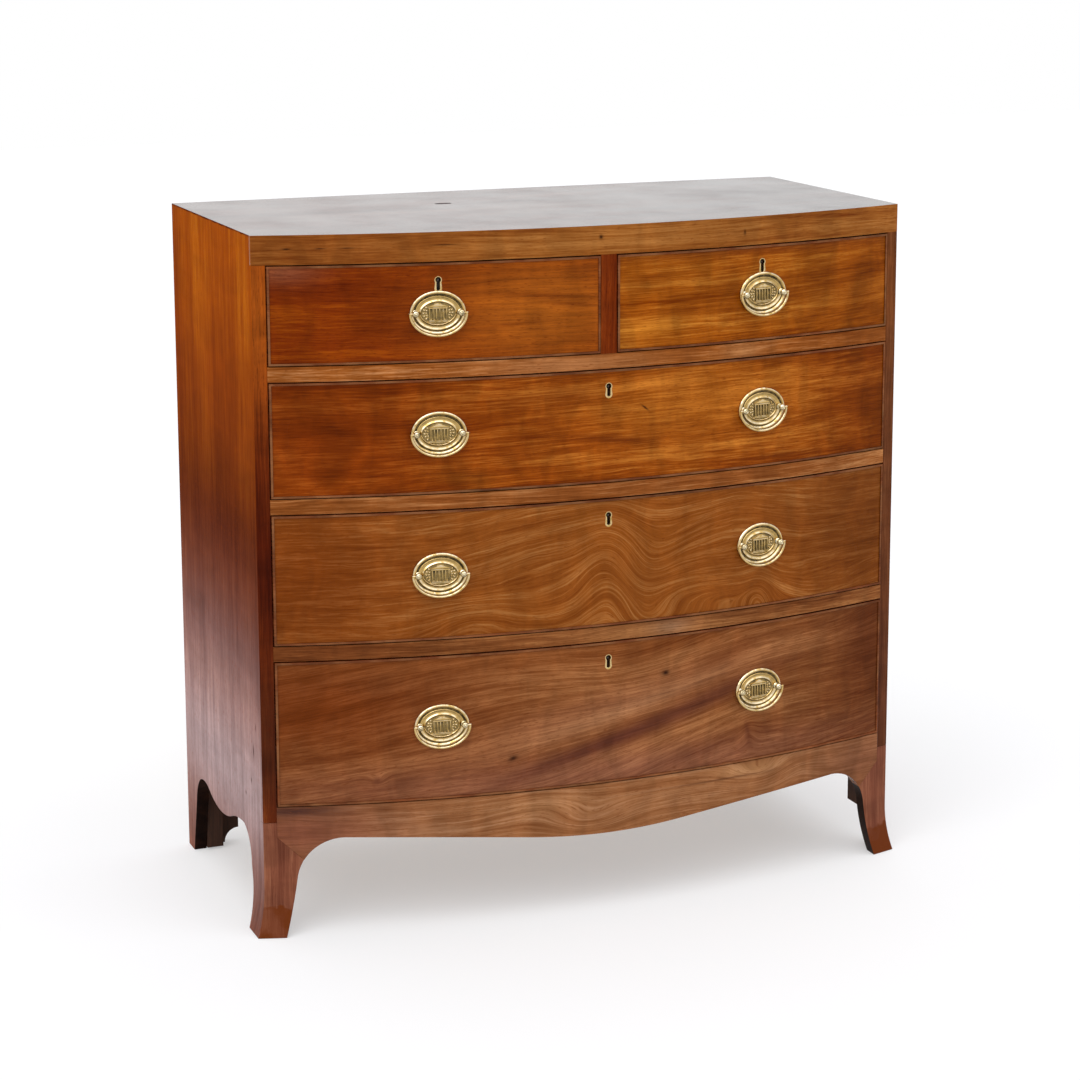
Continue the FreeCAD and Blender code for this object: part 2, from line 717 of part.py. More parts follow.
def make_glue_blocks():
    """Softwood blocks in the corners behind the feet and along the back of the apron."""
    size = cell("block_size")
    blocks = []
    back = BACK - cell("bracket_thickness")
    for side, sign in (("left", -1), ("right", 1)):
        across = (-INNER, size - INNER) if sign < 0 else (INNER - size, INNER)
        levels = (cell("block_clear"), FOOT_TOP)
        blocks.append(block(f"back_block_{side}", across, (back - size, back), levels))
        levels = (cell("splay_height"), FOOT_TOP)
        along = (BEFORE, FRONT + cell("front_block_back"))
        corner = block(f"front_block_{side}_board", across, along, levels)
        blocks.append(common(f"front_block_{side}", corner, skirt_back))
    half = cell("apron_block_length") / 2
    levels = (FOOT_TOP - cell("apron_block_height"), FOOT_TOP)
    for number in (-2, -1, 0, 1, 2):
        middle = cell("apron_block_pitch") * number
        inner = bow_y(middle) + cell("skirt_thickness")
        across = (middle - half, middle + half)
        along = (BEFORE, inner + cell("apron_block_depth"))
        board = block(f"apron_block_{number + 3}_board", across, along, levels)
        blocks.append(common(f"apron_block_{number + 3}", board, skirt_back))
    return group("glue_blocks", *blocks)


def make_runners():
    """Runners at each drawer's sides, the strip between the short drawers, and the stops."""
    along = (RAIL_BACK, BOARDS_FRONT)
    pieces = []
    for row, floor in FLOOR.items():
        levels = (floor - cell("runner_height"), floor)
        wide = cell("runner_width")
        pieces.append(block(f"runner_{row}_left", (-INNER, wide - INNER), along, levels))
        pieces.append(block(f"runner_{row}_right", (INNER - wide, INNER), along, levels))
    half = cell("centre_runner_width") / 2
    levels = (FLOOR[1] - cell("runner_height"), FLOOR[1])
    pieces.append(block("runner_centre", (-half, half), along, levels))
    half = cell("guide_width") / 2
    levels = (FLOOR[1], FLOOR[1] + cell("guide_height"))
    pieces.append(block("guide_centre", (-half, half), along, levels))
    for row, floor in FLOOR.items():
        names = ("short_stop_inner", "short_stop_outer") if row == 1 else ("long_stop_at",)
        for name in names:
            for sign in (-1, 1):
                pieces.append(make_stop(row, floor, name, sign))
    return group("runners_and_stops", *pieces)


def make_stop(row, floor, name, sign):
    middle = cell(name) * sign
    half = cell("stop_length") / 2
    face = bow_y(middle) + cell("front_thickness") + cell("stop_clearance")
    label = f"stop_{row}_{name}_{'left' if sign < 0 else 'right'}"
    across = (middle - half, middle + half)
    along = (BEFORE, face + cell("stop_depth"))
    levels = (floor, floor + cell("stop_height"))
    return common(label, block(f"{label}_board", across, along, levels), stop_face)


# ---- Brass and locks, drawn once at the origin with the front towards -Y -------------------


def round_corners(wide, high, sides, start=0.0, sweep=360.0, middle=0):
    """Corners along an oval's line, evenly turned; a whole oval doesn't repeat its first."""
    count = sides if sweep == 360.0 else sides + 1
    angles = [math.radians(start + sweep * number / sides) for number in range(count)]
    return [(wide * math.cos(angle), high * math.sin(angle) + middle) for angle in angles]


def oval_board(name, width, height, margin, sides, back, front):
    """An upright oval board between two distances before the drawer face."""
    corners = round_corners(width / 2 - margin, height / 2 - margin, sides)
    board = prism(name, "XZ_Plane", corners, {}, front - back)
    return place(board, 0, -back, 0)


def make_plate():
    """Pressed oval back plate: raised rim, sunk ground and a raised oval medallion."""
    width = cell("plate_width")
    height = cell("plate_height")
    rim = cell("plate_rim")
    ground = cell("plate_thickness")
    inset = cell("plate_rim_width")
    blank = oval_board("plate_blank", width, height, 0, RIM_SIDES, as_size(0), rim)
    hollow = oval_board("plate_hollow", width, height, inset, RIM_SIDES, ground, rim + REACH)
    medallion = oval_board(
        "plate_medallion",
        cell("medallion_width"),
        cell("medallion_height"),
        0,
        MEDALLION_SIDES,
        ground,
        cell("medallion_rise"),
    )
    return fuse("plate_pattern", cut("plate_pan", blank, hollow), medallion)


def make_post():
    """A post: shank through the drawer front, and a head on the plate, bored for the bail."""
    seat = -cell("plate_thickness")
    front = -cell("post_head_front")
    body = fuse(
        "post_body",
        rod("post_shank", cell("post_shank_radius"), SHANK_SIDES, (seat, NUT_FACE)),
        rod("post_head", cell("post_head_radius"), HEAD_SIDES, (front, seat)),
    )
    return cut("post_pattern", body, bore("post_bore", cell("post_bore_radius"), -cell("post_axis")))


def make_nut():
    """A square blind nut on the end of the shank, inside the drawer."""
    half = cell("nut_size") / 2
    along = (NUT_FACE, NUT_FACE + cell("nut_thickness"))
    return block("nut_pattern", (-half, half), along, (-half, half))


def make_post_hole(name, clearance):
    """A hole for a post's shank, as a cutting tool."""
    radius = cell("post_shank_radius") + clearance
    return rod(name, radius, SHANK_SIDES, (-REACH, cell("front_thickness") + REACH))


def pair(name, pattern):
    """Two copies of a pattern, a post pitch apart."""
    copies = []
    for side, sign in (("left", -1), ("right", 1)):
        copy = group(f"{name}_{side}", pattern)
        copies.append(place(copy, cell("post_pitch") / 2 * sign, 0, 0))
    return copies


def make_bail():
    """Drop handle: a half oval with a pointed tip outside each post and a pin into it."""
    wide = cell("bail_half_width")
    drop = cell("bail_drop")
    half = cell("bail_width") / 2
    outside = round_corners(wide + half, drop + half, BAIL_SIDES, 180.0, 180.0)
    inside = round_corners(wide - half, drop - half, BAIL_SIDES, 180.0, 180.0)
    tip = wide + cell("bail_tip_reach")
    rise = cell("bail_tip_rise")
    corners = [
        *outside,
        (tip, rise),
        (wide - half, rise),
        *reversed(inside),
        (half - wide, rise),
        (-tip, rise),
    ]
    drop_piece = prism("bail_drop_piece", "XZ_Plane", corners, {}, cell("bail_thickness"), True)
    thick = cell("bail_pin_radius")
    far = cell("post_pitch") / 2 - cell("post_head_radius") + cell("bail_pin_end")
    flat = cell("bail_pin_flat")
    left = pin("bail_pin_left", thick, flat, (-wide, -far))
    right = pin("bail_pin_right", thick, flat, (far, wide))
    return fuse("bail_pattern", drop_piece, left, right)


def make_keyhole_tool(name, margin, depth):
    """A keyhole-shaped prism, smaller than the lining by margin, down to a depth."""
    head = cell("keyhole_head") - margin
    skirt = cell("keyhole_skirt") - margin
    pin_level = -cell("keyhole_depth")
    foot_level = pin_level - cell("keyhole_fall")
    above_waist = 180.0 - KEYHOLE_WAIST * 2
    corners = [
        *round_corners(head, head, KEYHOLE_HEAD_SIDES, KEYHOLE_WAIST, above_waist, pin_level),
        *round_corners(skirt, skirt, KEYHOLE_FOOT_SIDES, 180.0, 180.0, foot_level),
    ]
    return place(prism(name, "XZ_Plane", corners, {}, depth + REACH), 0, depth, 0)


def make_lock():
    """Lock case with its pin and bolt slot, brass keyhole lining, and the tools that seat them."""
    half = cell("lock_width") / 2
    along = (cell("lock_setback"), cell("lock_setback") + cell("lock_thickness"))
    case = block("lock_case_blank", (-half, half), along, (-cell("lock_height"), 0))
    middle = cell("lock_setback") + cell("lock_thickness") / 2
    bolt_half = cell("bolt_width") / 2
    thick = cell("bolt_thickness") / 2
    gap = cell("bolt_clearance")
    bolt = block(
        "bolt_pattern",
        (-bolt_half, bolt_half),
        (middle - thick, middle + thick),
        (-cell("bolt_length"), 0),
    )
    slot = block(
        "bolt_slot",
        (-bolt_half - gap, bolt_half + gap),
        (middle - thick - gap, middle + thick + gap),
        (-cell("bolt_length") - gap, cell("bolt_throw")),
    )
    spare = cell("mortise_spare")
    mortise = block(
        "bolt_mortise",
        (-bolt_half - spare, bolt_half + spare),
        (middle - thick - spare, middle + thick + spare),
        (0, cell("bolt_throw") + spare),
    )
    key_pin = rod(
        "lock_pin",
        cell("lock_pin_radius"),
        HEAD_SIDES,
        (cell("lock_pin_setback"), cell("lock_setback")),
        level=-cell("keyhole_depth"),
    )
    outline = make_keyhole_tool("keyhole_outline", 0, cell("lock_setback"))
    hole = make_keyhole_tool("keyhole_hole", cell("keyhole_wall"), cell("lock_setback"))
    facing = block(
        "keyhole_facing",
        (-half, half),
        (0, cell("escutcheon_depth")),
        (-cell("lock_height"), 0),
    )
    lining = cut("keyhole_lining", common("keyhole_flush", outline, facing), hole)
    return {
        "lock": [cut("lock_case", case, slot), key_pin],
        "lining": [lining],
        "bolt": [bolt],
        "mortise": [mortise],
        "seat": [fuse("lock_seat", case, outline)],
    }


# ---- Drawers ------------------------------------------------------------------------------


def set_on_bow(name, pattern, x, z):
    """A copy of a pattern on the bow's face at x, turned square to it."""
    copy = group(name, *pattern)
    return place(copy, x, bow_y(x), z, (x / BOW_RADIUS).turn())


def make_drawer(name, opening, row, pulls, lock_x):
    """One drawer: bowed front, cock bead, dovetailed box, bottom, lock, pulls and bails."""
    left = opening[0] + cell("front_gap")
    right = opening[1] - cell("front_gap")
    low = FLOOR[row] + cell("front_bottom_gap")
    high = CEILING[row] - cell("front_top_gap")
    along = (BEFORE, FRONT + cell("front_thickness") + REACH)
    bead = cell("bead_width")

    face = block(f"{name}_face", (left, right), along, (low, high))
    field = block(f"{name}_field", (left + bead, right - bead), along, (low + bead, high - bead))
    cockbead = common(f"{name}_cockbead", cut(f"{name}_bead_frame", face, field), bead_shell)
    slab = cut(f"{name}_slab", common(f"{name}_bowed", face, bow_face), front_back)

    thick = cell("drawer_side_thickness")
    side_low = FLOOR[row] + cell("running_gap")
    side_high = CEILING[row] - cell("drawer_side_drop")
    end = BOARDS_FRONT - cell("drawer_back_space")
    sides = []
    for side, across in (("left", (left, left + thick)), ("right", (right - thick, right))):
        board = block(f"{name}_side_{side}_board", across, (BEFORE, end), (side_low, side_high))
        sides.append(common(f"{name}_side_{side}_blank", board, side_ends))

    groove = cell("groove_depth")
    bottom_low = side_low + cell("drawer_bottom_rise")
    bottom_high = bottom_low + cell("drawer_bottom_thickness")
    across = (left + thick - groove, right - thick + groove)
    sheet_of_pine = block(f"{name}_bottom_board", across, (BEFORE, end), (bottom_low, bottom_high))
    bottom = common(f"{name}_bottom", sheet_of_pine, groove_end)
    back = block(
        f"{name}_back",
        (left + thick, right - thick),
        (end - cell("drawer_back_thickness"), end),
        (bottom_high, side_high - cell("drawer_back_drop")),
    )
    grooved = [cut(f"{name}_side_{side}", blank, bottom) for side, blank in zip(("left", "right"), sides)]

    lock = set_on_bow(f"{name}_lock", locks["lock"], lock_x, high)
    seat = set_on_bow(f"{name}_lock_seat", locks["seat"], lock_x, high)
    bolt = set_on_bow(f"{name}_bolt", locks["bolt"], lock_x, high)
    mortise = set_on_bow(f"{name}_mortise", locks["mortise"], lock_x, high)

    level = FLOOR[row] + cell(f"pull_height_{row}")
    brass = [set_on_bow(f"{name}_keyhole", locks["lining"], lock_x, high)]
    holes = []
    bails = []
    for side, x in pulls:
        brass.append(set_on_bow(f"{name}_pull_{side}", pull_pieces, x, level))
        holes.append(set_on_bow(f"{name}_holes_{side}", post_holes, x, level))
        label = f"{name}_bail" if len(pulls) == 1 else f"{name}_bail_{side}"
        bails.append(set_on_bow(label, [hung_bail], x, level))

    tools = (cockbead, *sides, bottom, seat, *holes)
    front = cut(f"{name}_front", slab, *tools)
    keep(front)
    keep(cockbead)
    keep(group(f"{name}_box", *grooved, back))
    keep(bottom)
    keep(lock)
    keep(group(f"{name}_brasses", *brass))
    for hung in bails:
        keep(hung)
    keep(bolt)
    return mortise


# ---- Assembly -----------------------------------------------------------------------------

skirt_shell = make_skirt()
arch_tool = make_arch()
foot_left = make_foot("front_foot_left", -1, skirt_shell, arch_tool)
foot_right = make_foot("front_foot_right", 1, skirt_shell, arch_tool)
keep(group("front_feet", foot_left, foot_right))
keep(make_apron(skirt_shell, arch_tool))
top_board = keep(make_top())
frieze = make_frieze()
keep(make_side("side_left", -1, foot_left, (frieze, top_board)))
keep(make_side("side_right", 1, foot_right, (frieze, top_board)))
rails = {row: make_rail(f"rail_blank_{row}", (CEILING[row + 1], FLOOR[row])) for row in (1, 2, 3)}
keep(make_rail("bottom_rail", (FOOT_TOP, FLOOR[4])))
muntin_half = cell("muntin_width") / 2
muntin_board = block(
    "muntin_board", (-muntin_half, muntin_half), (BEFORE, RAIL_BACK), (FLOOR[1], CEILING[1])
)
keep(common("muntin", muntin_board, bow_face))
keep(make_back_boards())
keep(
    block(
        "bottom_board",
        (-INNER, INNER),
        (RAIL_BACK, BOARDS_FRONT),
        (FOOT_TOP, FLOOR[4] - cell("runner_height")),
    )
)
keep(make_back_brackets())
keep(make_glue_blocks())
keep(make_runners())

locks = make_lock()
plate_pattern = make_plate()
pull_pieces = [
    plate_pattern,
    *pair("post", make_post()),
    *pair("nut", make_nut()),
]
post_holes = pair("post_hole", make_post_hole("post_hole_tool", cell("post_hole_clearance")))
hung_bail = place(group("bail_hung", make_bail()), 0, -cell("post_axis"), 0)

pull_left = ("left", -cell("pull_at"))
pull_right = ("right", cell("pull_at"))
mortise_left = make_drawer(
    "drawer_1_left", (-INNER, -muntin_half), 1, [pull_left], -cell("lock_at")
)
mortise_right = make_drawer(
    "drawer_1_right", (muntin_half, INNER), 1, [pull_right], cell("lock_at")
)
keep(cut("frieze_rail", frieze, mortise_left, mortise_right))
for row in (2, 3, 4):
    mortise = make_drawer(f"drawer_{row}", (-INNER, INNER), row, [pull_left, pull_right], as_size(0))
    keep(cut(f"divider_rail_{row - 1}", rails[row - 1], mortise))


# ---- Checks and files -----------------------------------------------------------------------

document.recompute()
for thing in document.Objects:
    if "Invalid" in thing.State or "Error" in thing.State:
        raise RuntimeError(f"{thing.Label} failed: {thing.State}")
for thing in NODES:
    if thing.Shape.isNull() or not thing.Shape.isValid() or not thing.Shape.Solids:
        raise RuntimeError(f"{thing.Label} has no valid solid")

os.makedirs("parts", exist_ok=True)
for thing in NODES:
    thing.Shape.exportStep(f"parts/{thing.Label}.step")
    print(f"{thing.Label:24} {len(thing.Shape.Solids):3} solids {thing.Shape.Volume / 1000:10.1f} cm3")
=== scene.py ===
"""Looks of a bow front chest of drawers in French-polished mahogany with oval brass pulls.

All sizes here are millimetres and become metres only where they reach Blender.
"""
import math

import bmesh
import bpy
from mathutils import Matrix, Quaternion, Vector


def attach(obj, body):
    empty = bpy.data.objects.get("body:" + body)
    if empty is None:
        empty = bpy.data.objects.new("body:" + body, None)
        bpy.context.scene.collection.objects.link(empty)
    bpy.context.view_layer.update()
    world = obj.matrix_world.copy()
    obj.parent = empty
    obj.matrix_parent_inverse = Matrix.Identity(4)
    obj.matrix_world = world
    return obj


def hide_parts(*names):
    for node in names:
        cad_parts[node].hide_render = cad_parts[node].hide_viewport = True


bl_info = {
    "name": "Bow front chest of drawers",
    "version": (1, 0, 0),
    "blender": (4, 5, 0),
    "location": "3D View > Sidebar > Chest",
    "description": "Builds the boards, drawers, pulls and finishes of a bow front chest",
    "category": "Object",
}

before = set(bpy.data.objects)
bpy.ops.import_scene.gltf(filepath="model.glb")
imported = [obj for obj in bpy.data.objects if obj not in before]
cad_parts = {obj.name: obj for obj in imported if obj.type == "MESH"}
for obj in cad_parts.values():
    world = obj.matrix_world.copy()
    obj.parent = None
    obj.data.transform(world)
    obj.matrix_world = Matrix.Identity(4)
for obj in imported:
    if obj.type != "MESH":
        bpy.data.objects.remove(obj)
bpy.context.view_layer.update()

MM = 0.001

# ---- The chest's levels, which repeat the construction's -----------------------------------
HALF = 495.0
INNER = 476.0
FRONT = -175.5
BACK = 252.5
RAIL_BACK = -130.5
BOW_RADIUS = 1629.571
BOW_AXIS = 1377.071
LAP = FRONT + 5
FOOT_TOP = 168.0
FLOOR = {4: 190.5, 3: 424.0, 2: 633.5, 1: 819.0}
CEILING = {4: 402.5, 3: 612.0, 2: 797.5, 1: 959.0}
TOP_UNDERSIDE = 980.0
HEIGHT = 1000.0
SKIRT = 22.0
SCARF = ((438.0, 110.0), (INNER, 146.0))
SPLAY_RISE = 75.0
SPLAY_OUT = 12.0
SPLAY_FORWARD = 9.0
FRONT_THICK = 22.0
FRONT_LAP = 8.0
BEAD_DEPTH = 6.0
MUNTIN_HALF = 12.0
SIDE_THICK = 11.0
DRAWER_END = 231.5
DRAWER_BACK_THICK = 10.0
PULL_AT = 247.0
PULL_LEVEL = {1: 888.5, 2: 720.0, 3: 519.5, 4: 300.0}
LOCK_AT = 246.0
KEYHOLE_DEPTH = 23.8
SIDE_GAP = 1.2
TOP_GAP = 1.5
BOTTOM_GAP = 1.6
RUNNING_GAP = 0.3
SIDE_DROP = 6.0
BACK_DROP = 3.0
BOTTOM_RISE = 15.0
NEAR_MUNTIN = 20.0
LONG_STEPS = 96
POST_REACH = 32.0
BAIL_AXIS = 6.5
DRAWERS = {
    "drawer_1_left": (1, (-INNER, -MUNTIN_HALF), {"": -PULL_AT}, -LOCK_AT),
    "drawer_1_right": (1, (MUNTIN_HALF, INNER), {"": PULL_AT}, LOCK_AT),
    "drawer_2": (2, (-INNER, INNER), {"_left": -PULL_AT, "_right": PULL_AT}, 0.0),
    "drawer_3": (3, (-INNER, INNER), {"_left": -PULL_AT, "_right": PULL_AT}, 0.0),
    "drawer_4": (4, (-INNER, INNER), {"_left": -PULL_AT, "_right": PULL_AT}, 0.0),
}


def linear(code):
    """A colour written as sRGB hex, as the linear numbers that shaders use."""
    parts = [int(code[i : i + 2], 16) / 255 for i in (1, 3, 5)]
    return (*[c / 12.92 if c <= 0.04045 else ((c + 0.055) / 1.055) ** 2.4 for c in parts], 1.0)


def shade(label, about, code):
    """A colour that the panel shows."""
    return bpy.props.FloatVectorProperty(
        name=label, description=about, default=linear(code), size=4, min=0, max=1, subtype="COLOR"
    )


def length(label, about, millimetres):
    """A length that the panel shows."""
    return bpy.props.FloatProperty(
        name=label, description=about, default=millimetres * MM, min=0, unit="LENGTH"
    )


class ChestSizes(bpy.types.PropertyGroup):
    """Sizes that change the looks without moving anything in the construction."""

    arris: length("Arris", "Rounding that handling has given the boards' edges", 0.7)
    bead: length("Cock bead", "Width of the cock bead seen from the front", 3.0)
    bead_proud: length("Bead stands proud", "Cock bead before the drawer front", 1.6)
    bead_nose: length("Bead nose", "Rounding of the cock bead's nose", 1.3)
    plate_width: length("Plate width", "Oval back plate of a pull", 79.5)
    plate_height: length("Plate height", "Oval back plate of a pull", 62.5)
    wire: length("Bail wire", "Thickness of the drop handle at its middle", 4.4)
    tail_pitch: length("Dovetail pitch", "Distance from one dovetail to the next", 38.0)


class ChestColours(bpy.types.PropertyGroup):
    """Colours that a user would change."""

    mahogany_dark: shade("Mahogany, dark", "Late wood and pores", "#4d1703")
    mahogany: shade("Mahogany", "Body colour of the boards", "#86400f")
    mahogany_light: shade("Mahogany, light", "Early wood where the polish glows", "#b5702c")
    brass: shade("Brass", "Polished brass", "#c09e59")
    # The patina colour is also the painted shade on brass that faces down.
    patina: shade("Brass patina", "Tarnish left in the hollows", "#3c300f")
    iron: shade("Iron", "Lock cases and screws", "#4a4541")
    oak: shade("Oak", "Drawer linings", "#a47c4b")
    pine: shade("Pine", "Back boards, bottoms and blocks", "#b58a56")
    floor: shade("Floor", "Studio floor", "#fbfcff")


# ---- Modelling by hand -----------------------------------------------------------------------

UNIT_SIZES = {
    "cube": {"size": MM},
    "plane": {"size": MM},
    "circle": {"radius": MM / 2},
    "cylinder": {"radius": MM / 2, "depth": MM},
    "ico_sphere": {"radius": MM / 2},
}


def let_go():
    """Go back to object mode with nothing selected."""
    if bpy.context.mode != "OBJECT":
        done()
    bpy.ops.object.select_all(action="DESELECT")


def alone(piece):
    """Leave only this piece selected and active, in object mode."""
    let_go()
    piece.select_set(True)
    bpy.context.view_layer.objects.active = piece


def settle(piece):
    """Put the object's place into its mesh, so that it sits at the origin."""
    alone(piece)
    bpy.ops.object.transform_apply(location=True, rotation=True, scale=True)
    return piece


def begin(name, shape, at=(0, 0, 0), size=(1, 1, 1), turn=(0, 0, 0), **settings):
    """Add a primitive at its size and place, with nothing else selected."""
    let_go()
    make = getattr(bpy.ops.mesh, f"primitive_{shape}_add")
    make(location=[v * MM for v in at], **UNIT_SIZES[shape], **settings)
    piece = bpy.context.active_object
    piece.name = piece.data.name = name
    piece.scale = size
    piece.rotation_euler = turn
    return settle(piece)


def everything():
    """In edit mode, select the whole mesh."""
    bpy.ops.mesh.select_all(action="SELECT")


def edit(piece):
    """Open a piece's mesh with all its corners selected."""
    alone(piece)
    bpy.ops.object.mode_set(mode="EDIT")
    bpy.ops.mesh.select_mode(type="VERT")
    everything()


def done():
    """Close the mesh and go back to object mode."""
    bpy.ops.object.mode_set(mode="OBJECT")


def pick(piece, kind, test):
    """In edit mode, select the verts, edges or faces whose corners, in millimetres, pass a test."""
    bpy.ops.mesh.select_mode(type={"verts": "VERT", "edges": "EDGE", "faces": "FACE"}[kind])
    bpy.ops.mesh.select_all(action="DESELECT")
    mesh = bmesh.from_edit_mesh(piece.data)
    found = 0
    for item in getattr(mesh, kind):
        corners = [item.co] if kind == "verts" else [v.co for v in item.verts]
        if test([corner / MM for corner in corners]):
            item.select_set(True)
            found += 1
    mesh.select_flush_mode()
    bmesh.update_edit_mesh(piece.data)
    return found


def shift(x=0, y=0, z=0):
    """Move what is selected by a distance."""
    bpy.ops.transform.translate(value=(x * MM, y * MM, z * MM))


def push(x=0, y=0, z=0):
    """Extrude what is selected by a distance."""
    bpy.ops.mesh.extrude_region_move(TRANSFORM_OT_translate={"value": (x * MM, y * MM, z * MM)})


def saw(at, facing):
    """Saw the whole piece at a plane, throw away what lies before it and close the cut."""
    bpy.ops.mesh.select_mode(type="EDGE")
    everything()
    bpy.ops.mesh.bisect(plane_co=[v * MM for v in at], plane_no=facing, clear_outer=True)
    bpy.ops.mesh.edge_face_add()


def score(at, facing):
    """Divide the piece's faces along a plane, without removing anything."""
    everything()
    bpy.ops.mesh.bisect(plane_co=[v * MM for v in at], plane_no=facing)


def true_up():
    """Merge doubled corners and turn all faces outwards."""
    bpy.ops.mesh.select_mode(type="VERT")
    everything()
    bpy.ops.mesh.remove_doubles(threshold=0.00001)
    bpy.ops.mesh.normals_make_consistent(inside=False)


def finish_modifier(piece, kind, **settings):
    """Add a modifier, set it and apply it."""
    alone(piece)
    bpy.ops.object.modifier_add(type=kind)
    modifier = piece.modifiers[-1]
    for key, value in settings.items():
        setattr(modifier, key, value)
    bpy.ops.object.modifier_apply(modifier=modifier.name)
    return piece


def carve(piece, *tools, operation="DIFFERENCE"):
    """Cut a piece with solid tools, which are used up."""
    for tool in tools:
        finish_modifier(piece, "BOOLEAN", operation=operation, solver="EXACT", object=tool)
        bpy.data.objects.remove(tool)
    return piece


def soften(piece, width, segments=2, angle=35):
    """Round a piece's sharp edges, as handling and sanding do."""
    finish_modifier(
        piece,
        "BEVEL",
        width=width * MM,
        segments=segments,
        limit_method="ANGLE",
        angle_limit=math.radians(angle),
        use_clamp_overlap=True,
    )
    return smooth(piece)


def smooth(piece, angle=32):
    """Smooth shading that leaves the flats flat and the sharp edges sharp."""
    alone(piece)
    bpy.ops.object.shade_smooth_by_angle(angle=math.radians(angle))
    return finish_modifier(piece, "WEIGHTED_NORMAL", keep_sharp=True, weight=100)


def join(name, *pieces):
    """Make one piece of several."""
    alone(pieces[0])
    for piece in pieces[1:]:
        piece.select_set(True)
    bpy.ops.object.join()
    whole = bpy.context.active_object
    whole.name = whole.data.name = name
    return whole


def second_finish(piece, material, test):
    """Give the faces whose normal and middle, in millimetres, pass a test another finish."""
    piece.data.materials.append(material)
    last = len(piece.data.materials) - 1
    for face in piece.data.polygons:
        if test(face.normal, face.center / MM):
            face.material_index = last
    return piece


def stain(piece, share):
    """In edit mode, note on the selected corners how much tarnish they keep, from 0 to 1."""
    mesh = bmesh.from_edit_mesh(piece.data)
    layers = mesh.verts.layers.float
    tarnish = layers.get("tarnish") or layers.new("tarnish")
    for corner in mesh.verts:
        if corner.select:
            corner[tarnish] = share
    bmesh.update_edit_mesh(piece.data)


def bow_y(x, proud=0.0):
    """Where the bow's face is at a distance x from the middle."""
    return BOW_AXIS - math.sqrt((BOW_RADIUS + proud) ** 2 - x * x)


def behind_bow(x, behind, z):
    """A place square behind the bow's face at x, and the face's turn there."""
    lean = math.asin(x / BOW_RADIUS)
    return (x - math.sin(lean) * behind, bow_y(x) + math.cos(lean) * behind, z), (0, 0, lean)


def arc(start, end, radius, side, count=8):
    """Corners along an arc that bulges to the left (1) or right (-1) of the way to its end."""
    a, b = Vector(start), Vector(end)
    chord = b - a
    left = Vector((-chord.y, chord.x)).normalized() * side
    centre = (a + b) / 2 - left * math.sqrt(radius**2 - (chord.length / 2) ** 2)
    from_angle = math.atan2(a.y - centre.y, a.x - centre.x)
    sweep = math.atan2(b.y - centre.y, b.x - centre.x) - from_angle
    sweep = (sweep + math.pi) % (2 * math.pi) - math.pi
    angles = [from_angle + sweep * i / count for i in range(count + 1)]
    return [(centre.x + radius * math.cos(t), centre.y + radius * math.sin(t)) for t in angles]


def outlined(name, corners, depth, flat="y", start=0.0):
    """A board sawn to an outline: a corner is drawn out point by point, filled and made thick.

    flat is the axis across the board; the corners give the two other axes in order.
    """

    def place(corner, far=start):
        a, b = corner
        return Vector({"y": (a, far, b), "x": (far, a, b), "z": (a, b, far)}[flat])

    piece = begin(name, "plane", at=place(corners[0]))
    edit(piece)
    bpy.ops.mesh.merge(type="CENTER")
    everything()
    for here, after in zip(corners, corners[1:]):
        push(*(place(after) - place(here)))
    everything()
    bpy.ops.mesh.edge_face_add()
    everything()
    push(*(place(corners[0], start + depth) - place(corners[0])))
    true_up()
    done()
    return piece


def bow_board(
    name, across, levels, depth, proud=0.0, back=None, steps=LONG_STEPS, splayed=False
):
    """A board whose face follows the bow: its section is spun about the bow's axis.

    A splayed board runs on down to the floor along the hollow curve of the front feet.
    """
    left, right = across
    low, high = levels
    outer = BOW_RADIUS + proud
    if back is not None:
        depth = back - (BOW_AXIS - outer) + 12
    inner = outer - depth

    def turn_to(x):
        near = BOW_AXIS - back if back is not None else math.sqrt(inner**2 - x * x)
        return math.atan2(x, near)

    first = turn_to(left) - 0.01
    sweep = turn_to(right) + 0.01 - first
    middle = outer - depth / 2
    piece = begin(
        name,
        "plane",
        at=(middle * math.sin(first), BOW_AXIS - middle * math.cos(first), (low + high) / 2),
        size=(high - low, depth, 1),
        turn=(0, math.pi / 2, first),
    )
    edit(piece)
    if splayed:
        curve = arc((0, low), (-SPLAY_FORWARD, 0), splay_radius(SPLAY_FORWARD), 1)
        for (y, z), (next_y, next_z) in zip(curve, curve[1:]):
            pick(piece, "edges", lambda c: all(abs(p.z - z) < 0.01 for p in c))
            step = next_y - y
            push(-step * math.sin(first), step * math.cos(first), next_z - z)
        pick(piece, "edges", lambda c: abs(c[0].z - c[1].z) < 0.01 and 0.01 < c[0].z < high - 1)
        bpy.ops.mesh.delete(type="EDGE_FACE")
    pick(piece, "faces", lambda c: True)
    bpy.ops.mesh.delete(type="ONLY_FACE")
    bpy.ops.mesh.select_mode(type="EDGE")
    everything()
    spun = {"steps": steps, "angle": -sweep, "center": (0, BOW_AXIS * MM, 0), "axis": (0, 0, 1)}
    bpy.ops.mesh.spin(**spun)
    saw((right, 0, 0), (1, 0, 0))
    saw((left, 0, 0), (-1, 0, 0))
    if back is not None:
        saw((0, back, 0), (0, 1, 0))
    true_up()
    done()
    return piece


def splay_radius(out):
    """Radius of a foot's hollow curve that ends this far out at the floor."""
    return (SPLAY_RISE**2 + out**2) / (out * 2)


def set_on_bow(pattern, name, x, z, proud=0.0):
    """A copy of a pattern, turned square to the bow's face at x."""
    alone(pattern)
    bpy.ops.object.duplicate(linked=False)
    copy = bpy.context.active_object
    copy.name = copy.data.name = name
    copy.location = (x * MM, bow_y(x, proud) * MM, z * MM)
    copy.rotation_euler = (0, 0, math.asin(x / BOW_RADIUS))
    return settle(copy)


